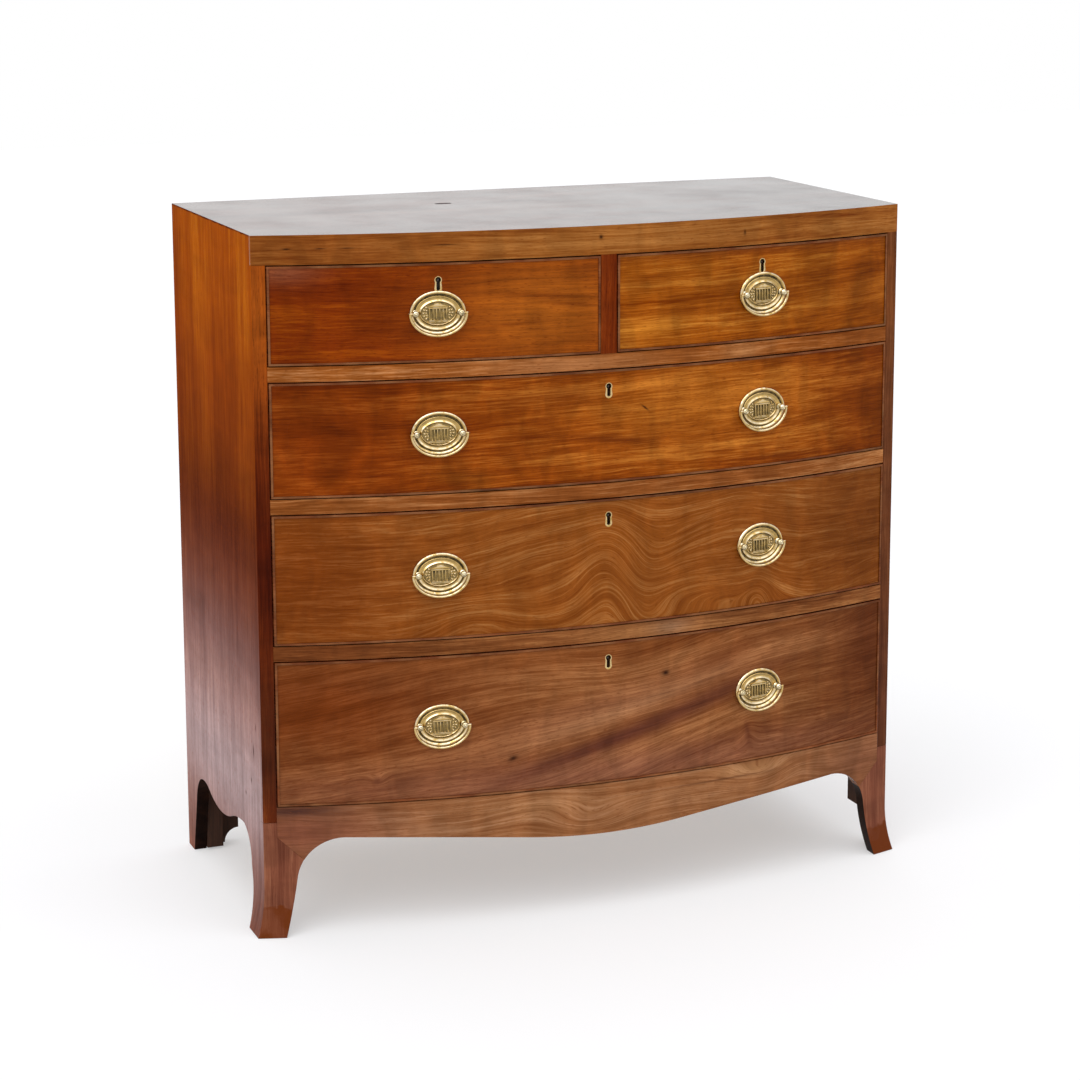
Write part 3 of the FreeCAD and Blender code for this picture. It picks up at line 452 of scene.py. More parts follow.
def hand_over(piece, body, slot, material, *nodes):
    """Give a finished piece its body and its finish, and hide the nodes that it stands for; its slot
    is not used.
    """
    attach(piece, body)
    if nodes:
        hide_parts(*nodes)
    if material is not None:
        piece.data.materials.clear()
        piece.data.materials.append(material)
    return piece


# ---- Finishes --------------------------------------------------------------------------------


class Finish:
    """A node material, or a world, while it is put together."""

    def __init__(self, name, kind="materials"):
        self.material = getattr(bpy.data, kind).new(name)
        self.material.use_nodes = True
        self.tree = self.material.node_tree
        self.tree.nodes.clear()

    def add(self, kind, *inputs, out=0, stops=(), named=None, **settings):
        """Add one node, set it, fill or link its inputs, and give back one of its outputs."""
        node = self.tree.nodes.new("ShaderNode" + kind)
        for key, value in settings.items():
            setattr(node, key, value)
        for number, (where, colour) in enumerate(stops):
            ramp = node.color_ramp.elements
            stop = ramp[number] if number < 2 else ramp.new(where)
            stop.position, stop.color = where, colour
        for key, value in [*enumerate(inputs), *(named or {}).items()]:
            if isinstance(value, bpy.types.NodeSocket):
                self.tree.links.new(value, node.inputs[key])
            elif value is not None:
                node.inputs[key].default_value = value
        return node.outputs[out] if node.outputs else None


def spot(finish, flat, centre, size, turn=0.0):
    """A soft oval place on a board, 1 in its middle and fading to 0; sizes in millimetres."""
    local = finish.add(
        "Mapping",
        flat,
        (centre[0] * MM, centre[1] * MM, 0),
        (0, 0, math.radians(turn)),
        (size[0] * MM, size[1] * MM, 1),
        vector_type="TEXTURE",
    )
    square = finish.add("VectorMath", local, local, out="Value", operation="DOT_PRODUCT")
    fall = finish.add("Math", square, -1.0, operation="MULTIPLY")
    return finish.add("Math", fall, operation="EXPONENT")


def timber(
    name,
    dark,
    body,
    light,
    along="x",
    across="z",
    slope=0.0,
    seed=0.0,
    streak=7.0,
    warp=10.0,
    waver=0.8,
    hills=(),
    patches=(),
    wear=(),
    line=0.6,
    contrast=1.0,
    mottle=0.2,
    roughness=0.24,
    specular=0.035,
    coat=0.0,
):
    """Wood: growth lines, fibres, pores and cross mottle that follow one board's grain.

    hills bend the growth lines into swirls: (centre, size, turn, rise in millimetres).
    patches change the colour: (centre, size, turn, share, colour).
    wear pales or darkens edges, by wear and, on a bead's nose, partly by a painted highlight:
    (where, share, colour).
    """
    # The board's own axes: along the grain, across it, and into the wood.
    finish = Finish(name)
    place = finish.add("TexCoord", out="Object")
    parts = finish.add("SeparateXYZ", place).node.outputs
    axes = dict(zip("xyz", parts))
    deep = next(axes[a] for a in "xyz" if a not in (along, across))
    first, second = sorted((along, across))
    flat = finish.add("CombineXYZ", axes[first], axes[second], 0.0)
    grain = finish.add("Math", axes[along], seed, operation="ADD")
    cross = finish.add(
        "Math", axes[along], math.tan(math.radians(slope)), axes[across], operation="MULTIPLY_ADD"
    )
    # Lines of equal cross are the growth lines: hills and two drifts bend them.
    for centre, size, turn, rise in hills:
        hill = spot(finish, flat, centre, size, turn)
        cross = finish.add("Math", hill, rise * MM, cross, operation="MULTIPLY_ADD")
    drift = finish.add("CombineXYZ", grain, cross, deep)
    drift = finish.add("Mapping", drift, (0, 0, 0), (0, 0, 0), (2.1, 7.0, 3.0))
    drift = finish.add("TexNoise", drift, named={"Scale": 1.0, "Detail": 2.0})
    drift = finish.add("Math", drift, 0.5, operation="SUBTRACT")
    cross = finish.add("Math", drift, warp * 2 * MM, cross, operation="MULTIPLY_ADD")
    shiver = finish.add("CombineXYZ", grain, cross, deep)
    shiver = finish.add("Mapping", shiver, (0, 0, 0), (0, 0, 0), (16, 55, 10))
    shiver = finish.add("TexNoise", shiver, named={"Scale": 1.0, "Detail": 2.0})
    cross = finish.add("Math", shiver, waver * 4 * MM, cross, operation="MULTIPLY_ADD")
    board = finish.add("CombineXYZ", grain, cross, deep)

    def strands(length, width, detail, rough):
        """Noise drawn out along the grain; length and width of its streaks in millimetres."""
        scaled = finish.add(
            "Mapping", board, (0, 0, 0), (0, 0, 0), (500 / length, 500 / width, 500 / width / 6)
        )
        settings = {"Scale": 1.0, "Detail": detail, "Roughness": rough}
        return finish.add("TexNoise", scaled, named=settings)

    # Broad growth bands, finer lines, fibres and pores add up to one tone.
    growth = strands(320, streak * 2.2, 3.0, 0.55)
    lines = strands(90, streak * 0.45, 3.0, 0.6)
    fibre = strands(34, 1.1, 2.0, 0.65)
    pores = strands(5, 0.55, 1.0, 0.5)
    tone = finish.add("Math", lines, line, growth, operation="MULTIPLY_ADD")
    tone = finish.add("Math", fibre, 0.8, tone, operation="MULTIPLY_ADD")
    middle = 0.5 * (1.8 + line)
    spread = 0.3 / contrast
    tone = finish.add("MapRange", tone, middle - spread, middle + spread, 0.0, 1.0)
    colour = finish.add("ValToRGB", tone, stops=((0.0, dark), (1.0, light), (0.5, body)))
    grained = finish.add("MapRange", tone, 0.0, 1.0, 0.65, 1.35)
    grained = finish.add("CombineColor", grained, grained, grained)
    # Patches take their own colour but keep the grain.
    for centre, size, turn, share, tint in patches:
        here = spot(finish, flat, centre, size, turn)
        here = finish.add("Math", here, share, operation="MULTIPLY", use_clamp=True)
        worked = {6: linear(tint), 7: grained}
        worked = finish.add(
            "Mix", 1.0, named=worked, out=2, data_type="RGBA", blend_type="MULTIPLY"
        )
        colour = finish.add("Mix", here, named={6: colour, 7: worked}, out=2, data_type="RGBA")
    # A cross mottle that shimmers, then dark pores.
    ripple = finish.add("Mapping", board, (0, 0, 0), (0, 0, 0.25), (26, 12, 3))
    ripple = finish.add("TexNoise", ripple, named={"Scale": 1.0, "Detail": 3.0, "Distortion": 0.6})
    ripple = finish.add("MapRange", ripple, 0.3, 0.7, 1 - mottle, 1 + mottle * 0.75)
    ripple = finish.add("CombineColor", ripple, ripple, ripple)
    colour = finish.add(
        "Mix", 1.0, named={6: colour, 7: ripple}, out=2, data_type="RGBA", blend_type="MULTIPLY"
    )
    dots = finish.add("MapRange", pores, 0.6, 0.72, 0.0, 0.55)
    colour = finish.add("Mix", dots, named={6: colour, 7: dark}, out=2, data_type="RGBA")
    if wear:
        broken = finish.add("TexNoise", place, named={"Scale": 24.0, "Detail": 6.0})
        broken = finish.add("MapRange", broken, 0.42, 0.62, 0.35, 1.0)
    for where, share, tint in wear:
        edge = near_edge(finish, place, axes, where)
        edge = finish.add("Math", edge, broken, operation="MULTIPLY")
        edge = finish.add("Math", edge, share, operation="MULTIPLY", use_clamp=True)
        colour = finish.add("Mix", edge, named={6: colour, 7: linear(tint)}, out=2, data_type="RGBA")
    # Polish smeared by cloths, and fibres that just show in the shine.
    smear = finish.add("TexNoise", place, named={"Scale": 9.0, "Detail": 3.0})
    rough = finish.add("MapRange", smear, 0.3, 0.7, roughness - 0.05, roughness + 0.07)
    height = finish.add("Math", dots, -0.8, fibre, operation="MULTIPLY_ADD")
    bump = finish.add("Bump", named={"Height": height, "Strength": 0.25, "Distance": 0.0002})
    surface = finish.add(
        "BsdfPrincipled",
        named={
            "Base Color": colour,
            "Roughness": rough,
            "IOR": 1.5,
            "Specular IOR Level": specular,
            "Coat Weight": coat,
            "Coat Roughness": 0.08,
            "Normal": bump,
        },
    )
    finish.add("OutputMaterial", surface)
    return finish.material


def near_edge(finish, place, axes, where):
    """How near a point is to an edge that wear pales or darkens, or that a painted highlight pales,
    from 0 to 1.
    """
    if where == "bead nose":
        centred = finish.add("VectorMath", place, (0, BOW_AXIS * MM, 0), operation="SUBTRACT")
        level = finish.add("VectorMath", centred, (1, 1, 0), operation="MULTIPLY")
        measure = finish.add("VectorMath", level, out="Value", operation="LENGTH")
        start, end = BOW_RADIUS + 1.2, BOW_RADIUS + 1.6
    elif where == "front corner":
        measure = finish.add("Math", axes["x"], operation="ABSOLUTE")
        start, end = HALF - 0.9, HALF - 0.1
    elif where == "top arris":
        measure = axes["z"]
        start, end = HEIGHT - 3.2, HEIGHT - 1.2
    elif where == "lower edge":
        wavy = finish.add("TexNoise", place, named={"Scale": 60.0, "Detail": 2.0})
        measure = finish.add("Math", wavy, -0.02, axes["z"], operation="MULTIPLY_ADD")
        start, end = 36, 33
    else:
        raise ValueError(where)
    return finish.add("MapRange", measure, start * MM, end * MM, 0.0, 1.0)


def brass(name, bright, dull, roughness, cloudy):
    """Stamped sheet brass: brown-green patina in hollows and cloudy patches, painted shade where it
    faces down and painted highlights where it faces up.
    """
    finish = Finish(name)
    place = finish.add("TexCoord", out="Object")
    # The attribute holds the tarnish in the hollows plus painted shade on what faces down, less on
    # what faces up.
    hollow = finish.add("Attribute", attribute_name="tarnish", out="Fac")
    cloud = finish.add("TexNoise", place, named={"Scale": 160.0, "Detail": 5.0})
    patch = finish.add("MapRange", cloud, 0.45, 0.7, 0.0, cloudy)
    ragged = finish.add("MapRange", cloud, 0.3, 0.7, 0.65, 1.15)
    hollow = finish.add("Math", hollow, ragged, operation="MULTIPLY")
    share = finish.add("Math", patch, hollow, operation="MAXIMUM", use_clamp=True)
    # The palest colour: rubbed crests, and painted highlights on what faces up.
    rubbed_and_highlit = [c + (pale - c) * 0.5 for c, pale in zip(bright, (1.0, 0.93, 0.76, 1.0))]
    middle = [(c + grime) * 0.42 for c, grime in zip(bright, dull)]
    colour = finish.add(
        "ValToRGB", share, stops=((0.0, rubbed_and_highlit), (1.0, dull), (0.25, bright), (0.6, middle))
    )
    scratch = finish.add("Mapping", place, (0, 0, 0), (0, 0.5, 0.3), (600, 300, 3500))
    scratch = finish.add("TexNoise", scratch, named={"Scale": 1.0, "Detail": 1.0})
    rough = finish.add("MapRange", scratch, 0.35, 0.7, roughness - 0.04, roughness + 0.08)
    rough = finish.add("Math", share, 0.2, rough, operation="MULTIPLY_ADD")
    bump = finish.add("Bump", named={"Height": scratch, "Strength": 0.15, "Distance": 0.0001})
    surface = finish.add(
        "BsdfPrincipled",
        named={
            "Base Color": colour,
            "Metallic": 1.0,
            "Roughness": rough,
            "Coat Weight": 0.5,
            "Coat Roughness": 0.08,
            "Normal": bump,
        },
    )
    finish.add("OutputMaterial", surface)
    return finish.material


def iron(name, colour):
    """Cast and filed iron gone dull: cloudy, dark, with a little rust."""
    finish = Finish(name)
    place = finish.add("TexCoord", out="Object")
    cloud = finish.add("TexNoise", place, named={"Scale": 160.0, "Detail": 5.0})
    rust = finish.add("MapRange", cloud, 0.52, 0.7, 0.0, 0.6)
    mixed = finish.add("Mix", rust, named={6: colour, 7: linear("#5a3320")}, out=2, data_type="RGBA")
    rough = finish.add("MapRange", cloud, 0.3, 0.7, 0.4, 0.6)
    bump = finish.add("Bump", named={"Height": cloud, "Strength": 0.3, "Distance": 0.0002})
    surface = finish.add(
        "BsdfPrincipled",
        named={"Base Color": mixed, "Metallic": 0.7, "Roughness": rough, "Normal": bump},
    )
    finish.add("OutputMaterial", surface)
    return finish.material


# ---- Boards of the carcass --------------------------------------------------------------------


def mortise(lock_x, top):
    """The slot above a lock that its bolt rises into, as a cutting tool."""
    size = (18, 6.5, 8)
    at, turn = behind_bow(lock_x, 17.1, top + size[2] / 2)
    return begin("mortise", "cube", at=at, size=size, turn=turn)


KNOT_AT = (-123.0, 91.0)
KNOT_SIZE = (27.0, 14.0)


def make_top(arris):
    """Top board: mitred to the sides behind its front edge, which runs on to the corners."""
    top = bow_board("top_board", (-HALF, HALF), (TOP_UNDERSIDE, HEIGHT), 0, back=BACK)
    for sign in (-1, 1):
        corners = [(474.0, 978), (496.8, 1002), (512, 1002), (512, 978)]
        corners = [(x * sign, z) for x, z in corners]
        carve(top, outlined("mitre_waste", corners, BACK - LAP + 5, start=LAP))
    return smooth(carve(soften(top, arris), make_knot(clear=0.2)))


def make_knot(clear=0.0):
    """A knot in the top that the polish no longer covers; with clearance, its seat."""
    size = (KNOT_SIZE[0] + clear, KNOT_SIZE[1] + clear, 2 + clear)
    return begin("top_knot", "cylinder", at=(*KNOT_AT, HEIGHT - 1), size=size, vertices=40)


def make_frieze(arris):
    """Frieze rail, lapped over the front edges of the sides."""
    rail = bow_board("frieze_rail", (-HALF, HALF), (CEILING[1], TOP_UNDERSIDE), 0, back=RAIL_BACK)
    for sign in (-1, 1):
        at = ((INNER + 12) * sign, LAP + 30, CEILING[1] + 10)
        carve(rail, begin("lap_waste", "cube", at=at, size=(24, 60, 40)))
    carve(rail, *[mortise(x, CEILING[1] - 1) for x in (-LOCK_AT, LOCK_AT)])
    return soften(rail, arris * 0.4)


def side_profile():
    """Outline of a side panel, front edge first: its laps, splayed front leg and cut-out."""
    edge = FRONT + 11
    stile = bow_y(INNER)
    knee_front, arch_front = (-111.5, 89), (-75.5, 137)
    drop_front, drop_back = (-10.5, 127), (119.5, 127)
    arch_back, knee_back = (169.5, 129), (196.5, 88)
    front_round, front_flank, drop_round, back_flank, back_round = 50.4, 188.5, 172, 71.5, 52
    front_leg, back_leg = (-133.5, 0), (219.5, 0)
    return [
        (LAP, HEIGHT),
        (LAP, CEILING[1]),
        (stile, CEILING[1]),
        (stile, FOOT_TOP),
        (edge, FOOT_TOP),
        *arc((edge, SPLAY_RISE), (edge - SPLAY_FORWARD, 0), splay_radius(SPLAY_FORWARD), 1),
        front_leg,
        *arc(knee_front, arch_front, front_round, 1, 12),
        *arc(arch_front, drop_front, front_flank, 1, 12)[1:],
        *arc(drop_front, drop_back, drop_round, -1, 20)[1:],
        *arc(drop_back, arch_back, back_flank, 1, 12)[1:],
        *arc(arch_back, knee_back, back_round, 1, 12)[1:],
        back_leg,
        (BACK, 0),
        (BACK, HEIGHT),
    ]


def splay_at(z):
    """How far a splayed foot stands out sideways at a level."""
    radius = splay_radius(SPLAY_OUT)
    return radius - math.sqrt(radius**2 - (SPLAY_RISE - z) ** 2)


def make_side(name, sign, arris):
    """Side panel: one board, sawn to its profile, mitred on top, fitted round the front foot."""
    panel = outlined(name, side_profile(), (INNER - HALF) * sign, flat="x", start=HALF * sign)
    edit(panel)
    stile = bow_y(INNER)
    outside = HALF * sign
    pick(
        panel,
        "verts",
        lambda c: abs(c[0].x - outside) < 0.1 and abs(c[0].y - stile) < 0.1 and c[0].z < 970,
    )
    shift(y=FRONT - stile)
    pick(panel, "verts", lambda c: abs(c[0].x - INNER * sign) < 0.1 and c[0].z > HEIGHT - 1)
    shift(z=TOP_UNDERSIDE - HEIGHT)
    rows = [SPLAY_RISE * i / 8 for i in range(1, 8)]
    for z in rows:
        score((0, 0, z), (0, 0, 1))
    middle = FRONT + 230
    levels = [-1.0]
    for z in sorted(v.co.z / MM for v in bmesh.from_edit_mesh(panel.data).verts):
        if levels[-1] + 0.1 < z < SPLAY_RISE - 0.1:
            levels.append(z)
            pick(panel, "verts", lambda c: -0.01 < c[0].z - z <= 0.1 and c[0].y < middle)
            shift(x=splay_at(z) * sign)
    true_up()
    done()
    soften(panel, arris)
    return smooth(carve(panel, make_foot("foot_seat", sign, arris, clear=15)))


def knee():
    """The round between apron and foot, parted where their joint crosses it: foot's, apron's."""
    line = arc((449, 89), (385, 143), 64.6, -1, 40)
    (low_x, low_z), (high_x, high_z) = SCARF
    slope = (high_z - low_z) / (high_x - low_x)
    above = [z - low_z - (x - low_x) * slope for x, z in line]
    split = next(i for i, height in enumerate(above) if height > 0)
    share = above[split] / (above[split] - above[split - 1])
    joint = tuple(b + (a - b) * share for a, b in zip(line[split - 1], line[split]))
    return [*line[: split - 1 : 4], joint], [joint, *line[split + 2 : -2 : 3], line[-1]]


def make_foot(name, sign, arris, clear=0):
    """A front foot: splayed forwards with the bow and outwards, its inner edge hollow.

    With clearance beside it, it is the tool that seats the foot in its side panel.
    """
    outer = arc((HALF, SPLAY_RISE), (HALF + SPLAY_OUT, 0), splay_radius(SPLAY_OUT), -1)
    corners = [
        (HALF + clear, FOOT_TOP),
        *[(x + clear, z) for x, z in outer],
        *arc((468, 0), (449, 89), 525, 1),
        *knee()[0][1:],
        SCARF[1],
        (INNER, FOOT_TOP),
    ]
    corners = [(x * sign, z) for x, z in corners]
    across = sorted(((HALF + 40) * sign, (HALF - 65) * sign))
    foot = bow_board(name, across, (SPLAY_RISE, FOOT_TOP), SKIRT, steps=12, splayed=True)
    outline = outlined("foot_outline", corners, 400, start=-400)
    carve(foot, outline, operation="INTERSECT")
    return foot if clear else soften(foot, arris)


def make_apron(arris):
    """Apron: a drop in its middle, long flanks, and scarf joints on to the feet."""
    right = [(INNER, FOOT_TOP), SCARF[1], *knee()[1]]
    flank = arc((385, 143), (110, 121), 4600, -1, 14)[1:]
    drop = arc((110, 121), (-110, 121), (110**2 + 5.5**2) / 11, 1, 24)[1:-1]
    right = [*right, *flank]
    corners = [*right, *drop, *[(-x, z) for x, z in reversed(right)]]
    apron = bow_board("apron", (-INNER - 2, INNER + 2), (100, FOOT_TOP + 1), SKIRT)
    outline = outlined("apron_outline", corners, 400, start=-400)
    return soften(carve(apron, outline, operation="INTERSECT"), arris * 0.8)


# ---- Drawers ----------------------------------------------------------------------------------


def tail_spots(levels, pitch, narrow, wide):
    """Heights of each dovetail: (low and high at its base, low and high at its end)."""
    low, high = levels
    count = max(2, round((high - low) / pitch))
    centres = [low + (high - low) * i / count for i in range(count + 1)]
    spots = []
    for under, over in zip(centres, centres[1:]):
        spots.append((under + wide / 2, over - wide / 2, under + narrow / 2, over - narrow / 2))
    return spots


def tail_line(base, end, spots):
    """Corners up a row of dovetails, from a base line out to their ends and back."""
    corners = []
    for base_low, base_high, end_low, end_high in spots:
        corners += [(base, base_low), (end, end_low), (end, end_high), (base, base_high)]
    return corners


def lean_back(piece, sign, outer_x, until):
    """Slide a board's outer corners back to follow the bow across its thickness."""
    edit(piece)
    step = bow_y(outer_x) - bow_y(outer_x - SIDE_THICK)
    pick(piece, "verts", lambda c: abs(c[0].x - outer_x * sign) < 0.1 and c[0].y < until)
    shift(y=step)
    done()
    return piece


def front_spans(row, opening):
    """A drawer front's left and right, its low and high, and the steps that its bow takes."""
    left, right = opening[0] + SIDE_GAP, opening[1] - SIDE_GAP
    low, high = FLOOR[row] + BOTTOM_GAP, CEILING[row] - TOP_GAP
    steps = LONG_STEPS if right - left > HALF else LONG_STEPS // 2
    return left, right, low, high, steps


def make_front(name, row, opening, lock_x, sizes):
    """A drawer front sawn from the bow: rebated, dovetailed, grooved and cut for its lock."""
    left, right, low, high, steps = front_spans(row, opening)
    bead = sizes.bead / MM
    front = bow_board(f"{name}_front", (left, right), (low, high), FRONT_THICK, steps=steps)
    ring = bow_board(
        "rebate", (left - 6, right + 6), (low - 6, high + 6), BEAD_DEPTH + 8, 8, steps=steps
    )
    core = bow_board(
        "field",
        (left + bead, right - bead),
        (low + bead, high - bead),
        BEAD_DEPTH + 30,
        12,
        steps=steps,
    )
    tools = [carve(ring, core)]
    for sign, outer in ((-1, left), (1, right)):
        tools.append(sockets(row, sign, outer, sizes))
    grooves = (FLOOR[row] + 8.3, FLOOR[row] + 15.3)
    tools.append(
        bow_board("groove", (left + 6, right - 6), grooves, 12, 5 - FRONT_THICK, steps=steps)
    )
    seat_depth, seat_drop = 22, 18
    at, turn = behind_bow(lock_x, seat_depth, high - seat_drop)
    tools.append(begin("lock_seat", "cube", at=at, size=(50, 20, 56), turn=turn))
    hole = outlined("keyhole", keyhole_line(0), 34, start=-20)
    tools.append(set_on_bow(hole, "keyhole_tool", lock_x, high - KEYHOLE_DEPTH))
    bpy.data.objects.remove(hole)
    carve(front, *tools)
    return smooth(front)


def side_levels(row):
    """Low and high edge of a drawer's sides."""
    return FLOOR[row] + RUNNING_GAP, CEILING[row] - SIDE_DROP


def side_tails(row, sizes):
    """Front dovetails of a drawer side: narrow pins between wide tails."""
    return tail_spots(side_levels(row), sizes.tail_pitch / MM, 3, 7)


def side_ends(outer):
    """Where a drawer side starts behind its front, and where its tails end inside it."""
    reach = abs(outer)
    if reach > NEAR_MUNTIN:
        reach -= SIDE_THICK
    return bow_y(reach, -FRONT_THICK), bow_y(reach, -FRONT_LAP)


def side_board(name, sign, outer, corners, base):
    """A board as thick as a drawer side; away from the muntin its front end follows the bow."""
    board = outlined(name, corners, -SIDE_THICK * sign, flat="x", start=outer)
    if abs(outer) > NEAR_MUNTIN:
        lean_back(board, sign, abs(outer), base + 3)
    return board


def sockets(row, sign, outer, sizes):
    """The sockets in a front for the tails of a drawer side, as a cutting tool."""
    base, end = side_ends(outer)
    low, high = side_levels(row)
    behind = base + 6
    tails = tail_line(base, end, side_tails(row, sizes))
    corners = [(behind, low), (base, low), *tails, (base, high), (behind, high)]
    return side_board("sockets", sign, outer, corners, base)


def make_drawer_side(name, row, sign, outer, sizes):
    """An oak drawer side: lapped dovetails in front, through dovetails behind, a groove inside."""
    base, end = side_ends(outer)
    low, high = side_levels(row)
    front = tail_line(base, end, side_tails(row, sizes))
    rear_base = DRAWER_END - DRAWER_BACK_THICK
    rear = tail_line(rear_base, DRAWER_END, back_tails(row, sizes))
    corners = [
        (base, low),
        *front,
        (base, high),
        (DRAWER_END, high),
        (DRAWER_END, high - BACK_DROP),
        (rear_base, high - BACK_DROP),
        *reversed(rear),
        (rear_base, low + BOTTOM_RISE),
        (DRAWER_END, low + BOTTOM_RISE),
        (DRAWER_END, low),
    ]
    side = side_board(name, sign, outer, corners, base)
    inside = outer - SIDE_THICK * sign
    at = (inside, 0, low + 11.5)
    groove = begin("side_groove", "cube", at=at, size=(10, 900, 7))
    return soften(carve(side, groove), 0.4, 1)


def back_levels(row):
    """Low and high edge of a drawer's back, between its bottom and the top of its sides."""
    low, high = side_levels(row)
    return low + BOTTOM_RISE, high - BACK_DROP


def back_tails(row, sizes):
    """Back dovetails of a drawer side, cut right through."""
    return tail_spots(back_levels(row), sizes.tail_pitch / MM, 4, 7)


def make_drawer_back(name, row, left, right, sizes):
    """An oak drawer back whose pins show at the ends of the sides."""
    levels = back_levels(row)
    rear_base = DRAWER_END - DRAWER_BACK_THICK
    line = [(rear_base, levels[0])]
    line += tail_line(rear_base, DRAWER_END, back_tails(row, sizes))
    line += [(rear_base, levels[1]), (rear_base - 5, levels[1]), (rear_base - 5, levels[0])]
    middle = (left + right) / 2
    span = right - left
    at = (middle, DRAWER_END - DRAWER_BACK_THICK / 2, sum(levels) / 2)
    back = begin(name, "cube", at=at, size=(span, DRAWER_BACK_THICK, levels[1] - levels[0]))
    for sign, outer in ((-1, left), (1, right)):
        tool = outlined(
            "tail_sockets", line, -SIDE_THICK * sign - sign, flat="x", start=outer + sign
        )
        carve(back, tool)
    return soften(back, 0.4, 1)


def make_bead(name, row, opening, sizes):
    """Cock bead: a thin frame let into the edges of a drawer front, its nose rounded."""
    left, right, low, high, steps = front_spans(row, opening)
    width = sizes.bead / MM
    proud = sizes.bead_proud / MM
    bead = bow_board(
        f"{name}_cockbead", (left, right), (low, high), BEAD_DEPTH + proud, proud, steps=steps
    )
    core = bow_board(
        "field", (left + width, right - width), (low + width, high - width), 40, 20, steps=steps
    )
    carve(bead, core)
    return soften(bead, sizes.bead_nose / MM, 3)


# ---- Brass -------------------------------------------------------------------------------------


def keyhole_line(margin):
    """Outline of a keyhole lining, or of the hole in it when a margin is taken off."""
    head, foot, fall = 5.3 - margin, 5.4 - margin, 11.6
    corners = []
    for i in range(17):
        angle = math.radians(-34 + 248 * i / 16)
        corners.append((head * math.cos(angle), head * math.sin(angle)))
    for i in range(11):
        angle = math.radians(180 + 180 * i / 10)
        corners.append((foot * math.cos(angle), foot * math.sin(angle) - fall))
    return corners


def make_lining():
    """Brass keyhole lining, drawn once at the origin, with the key's round above its slot."""
    lining = outlined("lining", keyhole_line(0), 4.15, start=-0.15)
    round_hole = begin(
        "round_hole",
        "cylinder",
        at=(0, 0, 0.4),
        size=(7.8, 7.8, 20),
        turn=(math.pi / 2, 0, 0),
        vertices=24,
    )
    half, foot = 2.5, -12.6
    slot = arc((-half, foot), (half, foot), 2.7, -1, 8)
    slot = outlined("slot", [(half, 0), *reversed(slot), (-half, 0)], 20, start=-10)
    carve(lining, round_hole, slot)
    # Painted shade on what faces down and painted highlight on what faces up.
    painted_shade_by_facing(lining, 0.1)
    return soften(lining, 0.25, 2)


# Section of a back plate: distance in from the rim, height, and share of tarnish.
PLATE_SECTION = (
    (0.0, 0.9, 0.3),
    (0.3, 1.7, 0.1),
    (0.9, 2.6, 0.0),
    (1.7, 3.2, 0.0),
    (2.6, 3.4, 0.0),
    (3.6, 3.2, 0.0),
    (4.6, 2.5, 0.2),
    (5.4, 1.5, 0.6),
    (5.9, 0.8, 0.95),
    (6.7, 0.7, 1.0),
    (7.2, 1.4, 0.8),
    (7.8, 1.9, 0.2),
    (8.5, 1.8, 0.0),
    (9.6, 1.1, 0.0),
    (11.0, 0.45, 0.1),
    (12.4, 0.6, 0.3),
    (13.6, 1.3, 0.2),
    (14.3, 2.0, 0.0),
    (15.0, 2.3, 0.0),
    (15.5, 2.0, 0.3),
    (15.9, 1.2, 1.0),
    (16.5, 0.9, 1.0),
    (19.0, 1.1, 0.9),
    (22.5, 1.3, 0.9),
)


def make_plate(sizes):
    """Stamped oval plate: rolled rim, sunk ring, dished cove and a medallion with a portico."""
    plate = begin(
        "plate",
        "circle",
        size=(sizes.plate_width / MM, sizes.plate_height / MM, 1),
        turn=(math.pi / 2, 0, 0),
        vertices=112,
        fill_type="NGON",
    )
    edit(plate)
    push(y=-PLATE_SECTION[0][1])
    pick(plate, "faces", lambda c: len(c) > 8 and c[0].y < -0.5)
    for (inset, height, _), (next_inset, next_height, tarnish) in zip(
        PLATE_SECTION, PLATE_SECTION[1:]
    ):
        bpy.ops.mesh.inset(
            thickness=(next_inset - inset) * MM,
            depth=(next_height - height) * MM,
            use_even_offset=True,
        )
        stain(plate, tarnish)
    true_up()
    done()
    carve(plate, *portico(), operation="UNION")
    low_ground(plate)
    # Painted shade on what faces down and painted highlight on what faces up.
    painted_shade_by_facing(plate, 0.8)
    return smooth(plate, 40)


MEDALLION = (23.5, 15.2)
LEAF_RING = (23.5, 15.4)


def low_ground(plate):
    """Leave the medallion's ground tarnished and its raised forms bright."""
    for corner, tarnish in zip(plate.data.vertices, plate.data.attributes["tarnish"].data):
        x, depth, z = corner.co / MM
        if math.hypot(x / MEDALLION[0], z / MEDALLION[1]) < 1:
            tarnish.value = 0.5 if depth > -1.8 else 0.0


def painted_shade_by_facing(piece, strength):
    """Add painted shade to what faces down and painted highlight to what faces up, on top of the
    tarnish noted already.
    """
    tarnish = piece.data.attributes.get("tarnish")
    tarnish = tarnish or piece.data.attributes.new("tarnish", "FLOAT", "POINT")
    for corner, share in zip(piece.data.vertices, tarnish.data):
        share.value = max(0.0, min(1.0, share.value + 0.22 - strength * corner.normal.z))


def relief(name, at, size):
    """A low stamped form on the medallion, its top at the given rise."""
    x, z, rise = at
    made = begin(name, "cube", at=(x, -rise + 1.0, z), size=(size[0], 2.0, size[1]))
    edit(made)
    pick(made, "faces", lambda c: all(p.y < -rise + 0.2 for p in c))
    bpy.ops.mesh.inset(thickness=0.25 * MM, depth=0.3 * MM)
    done()
    return made


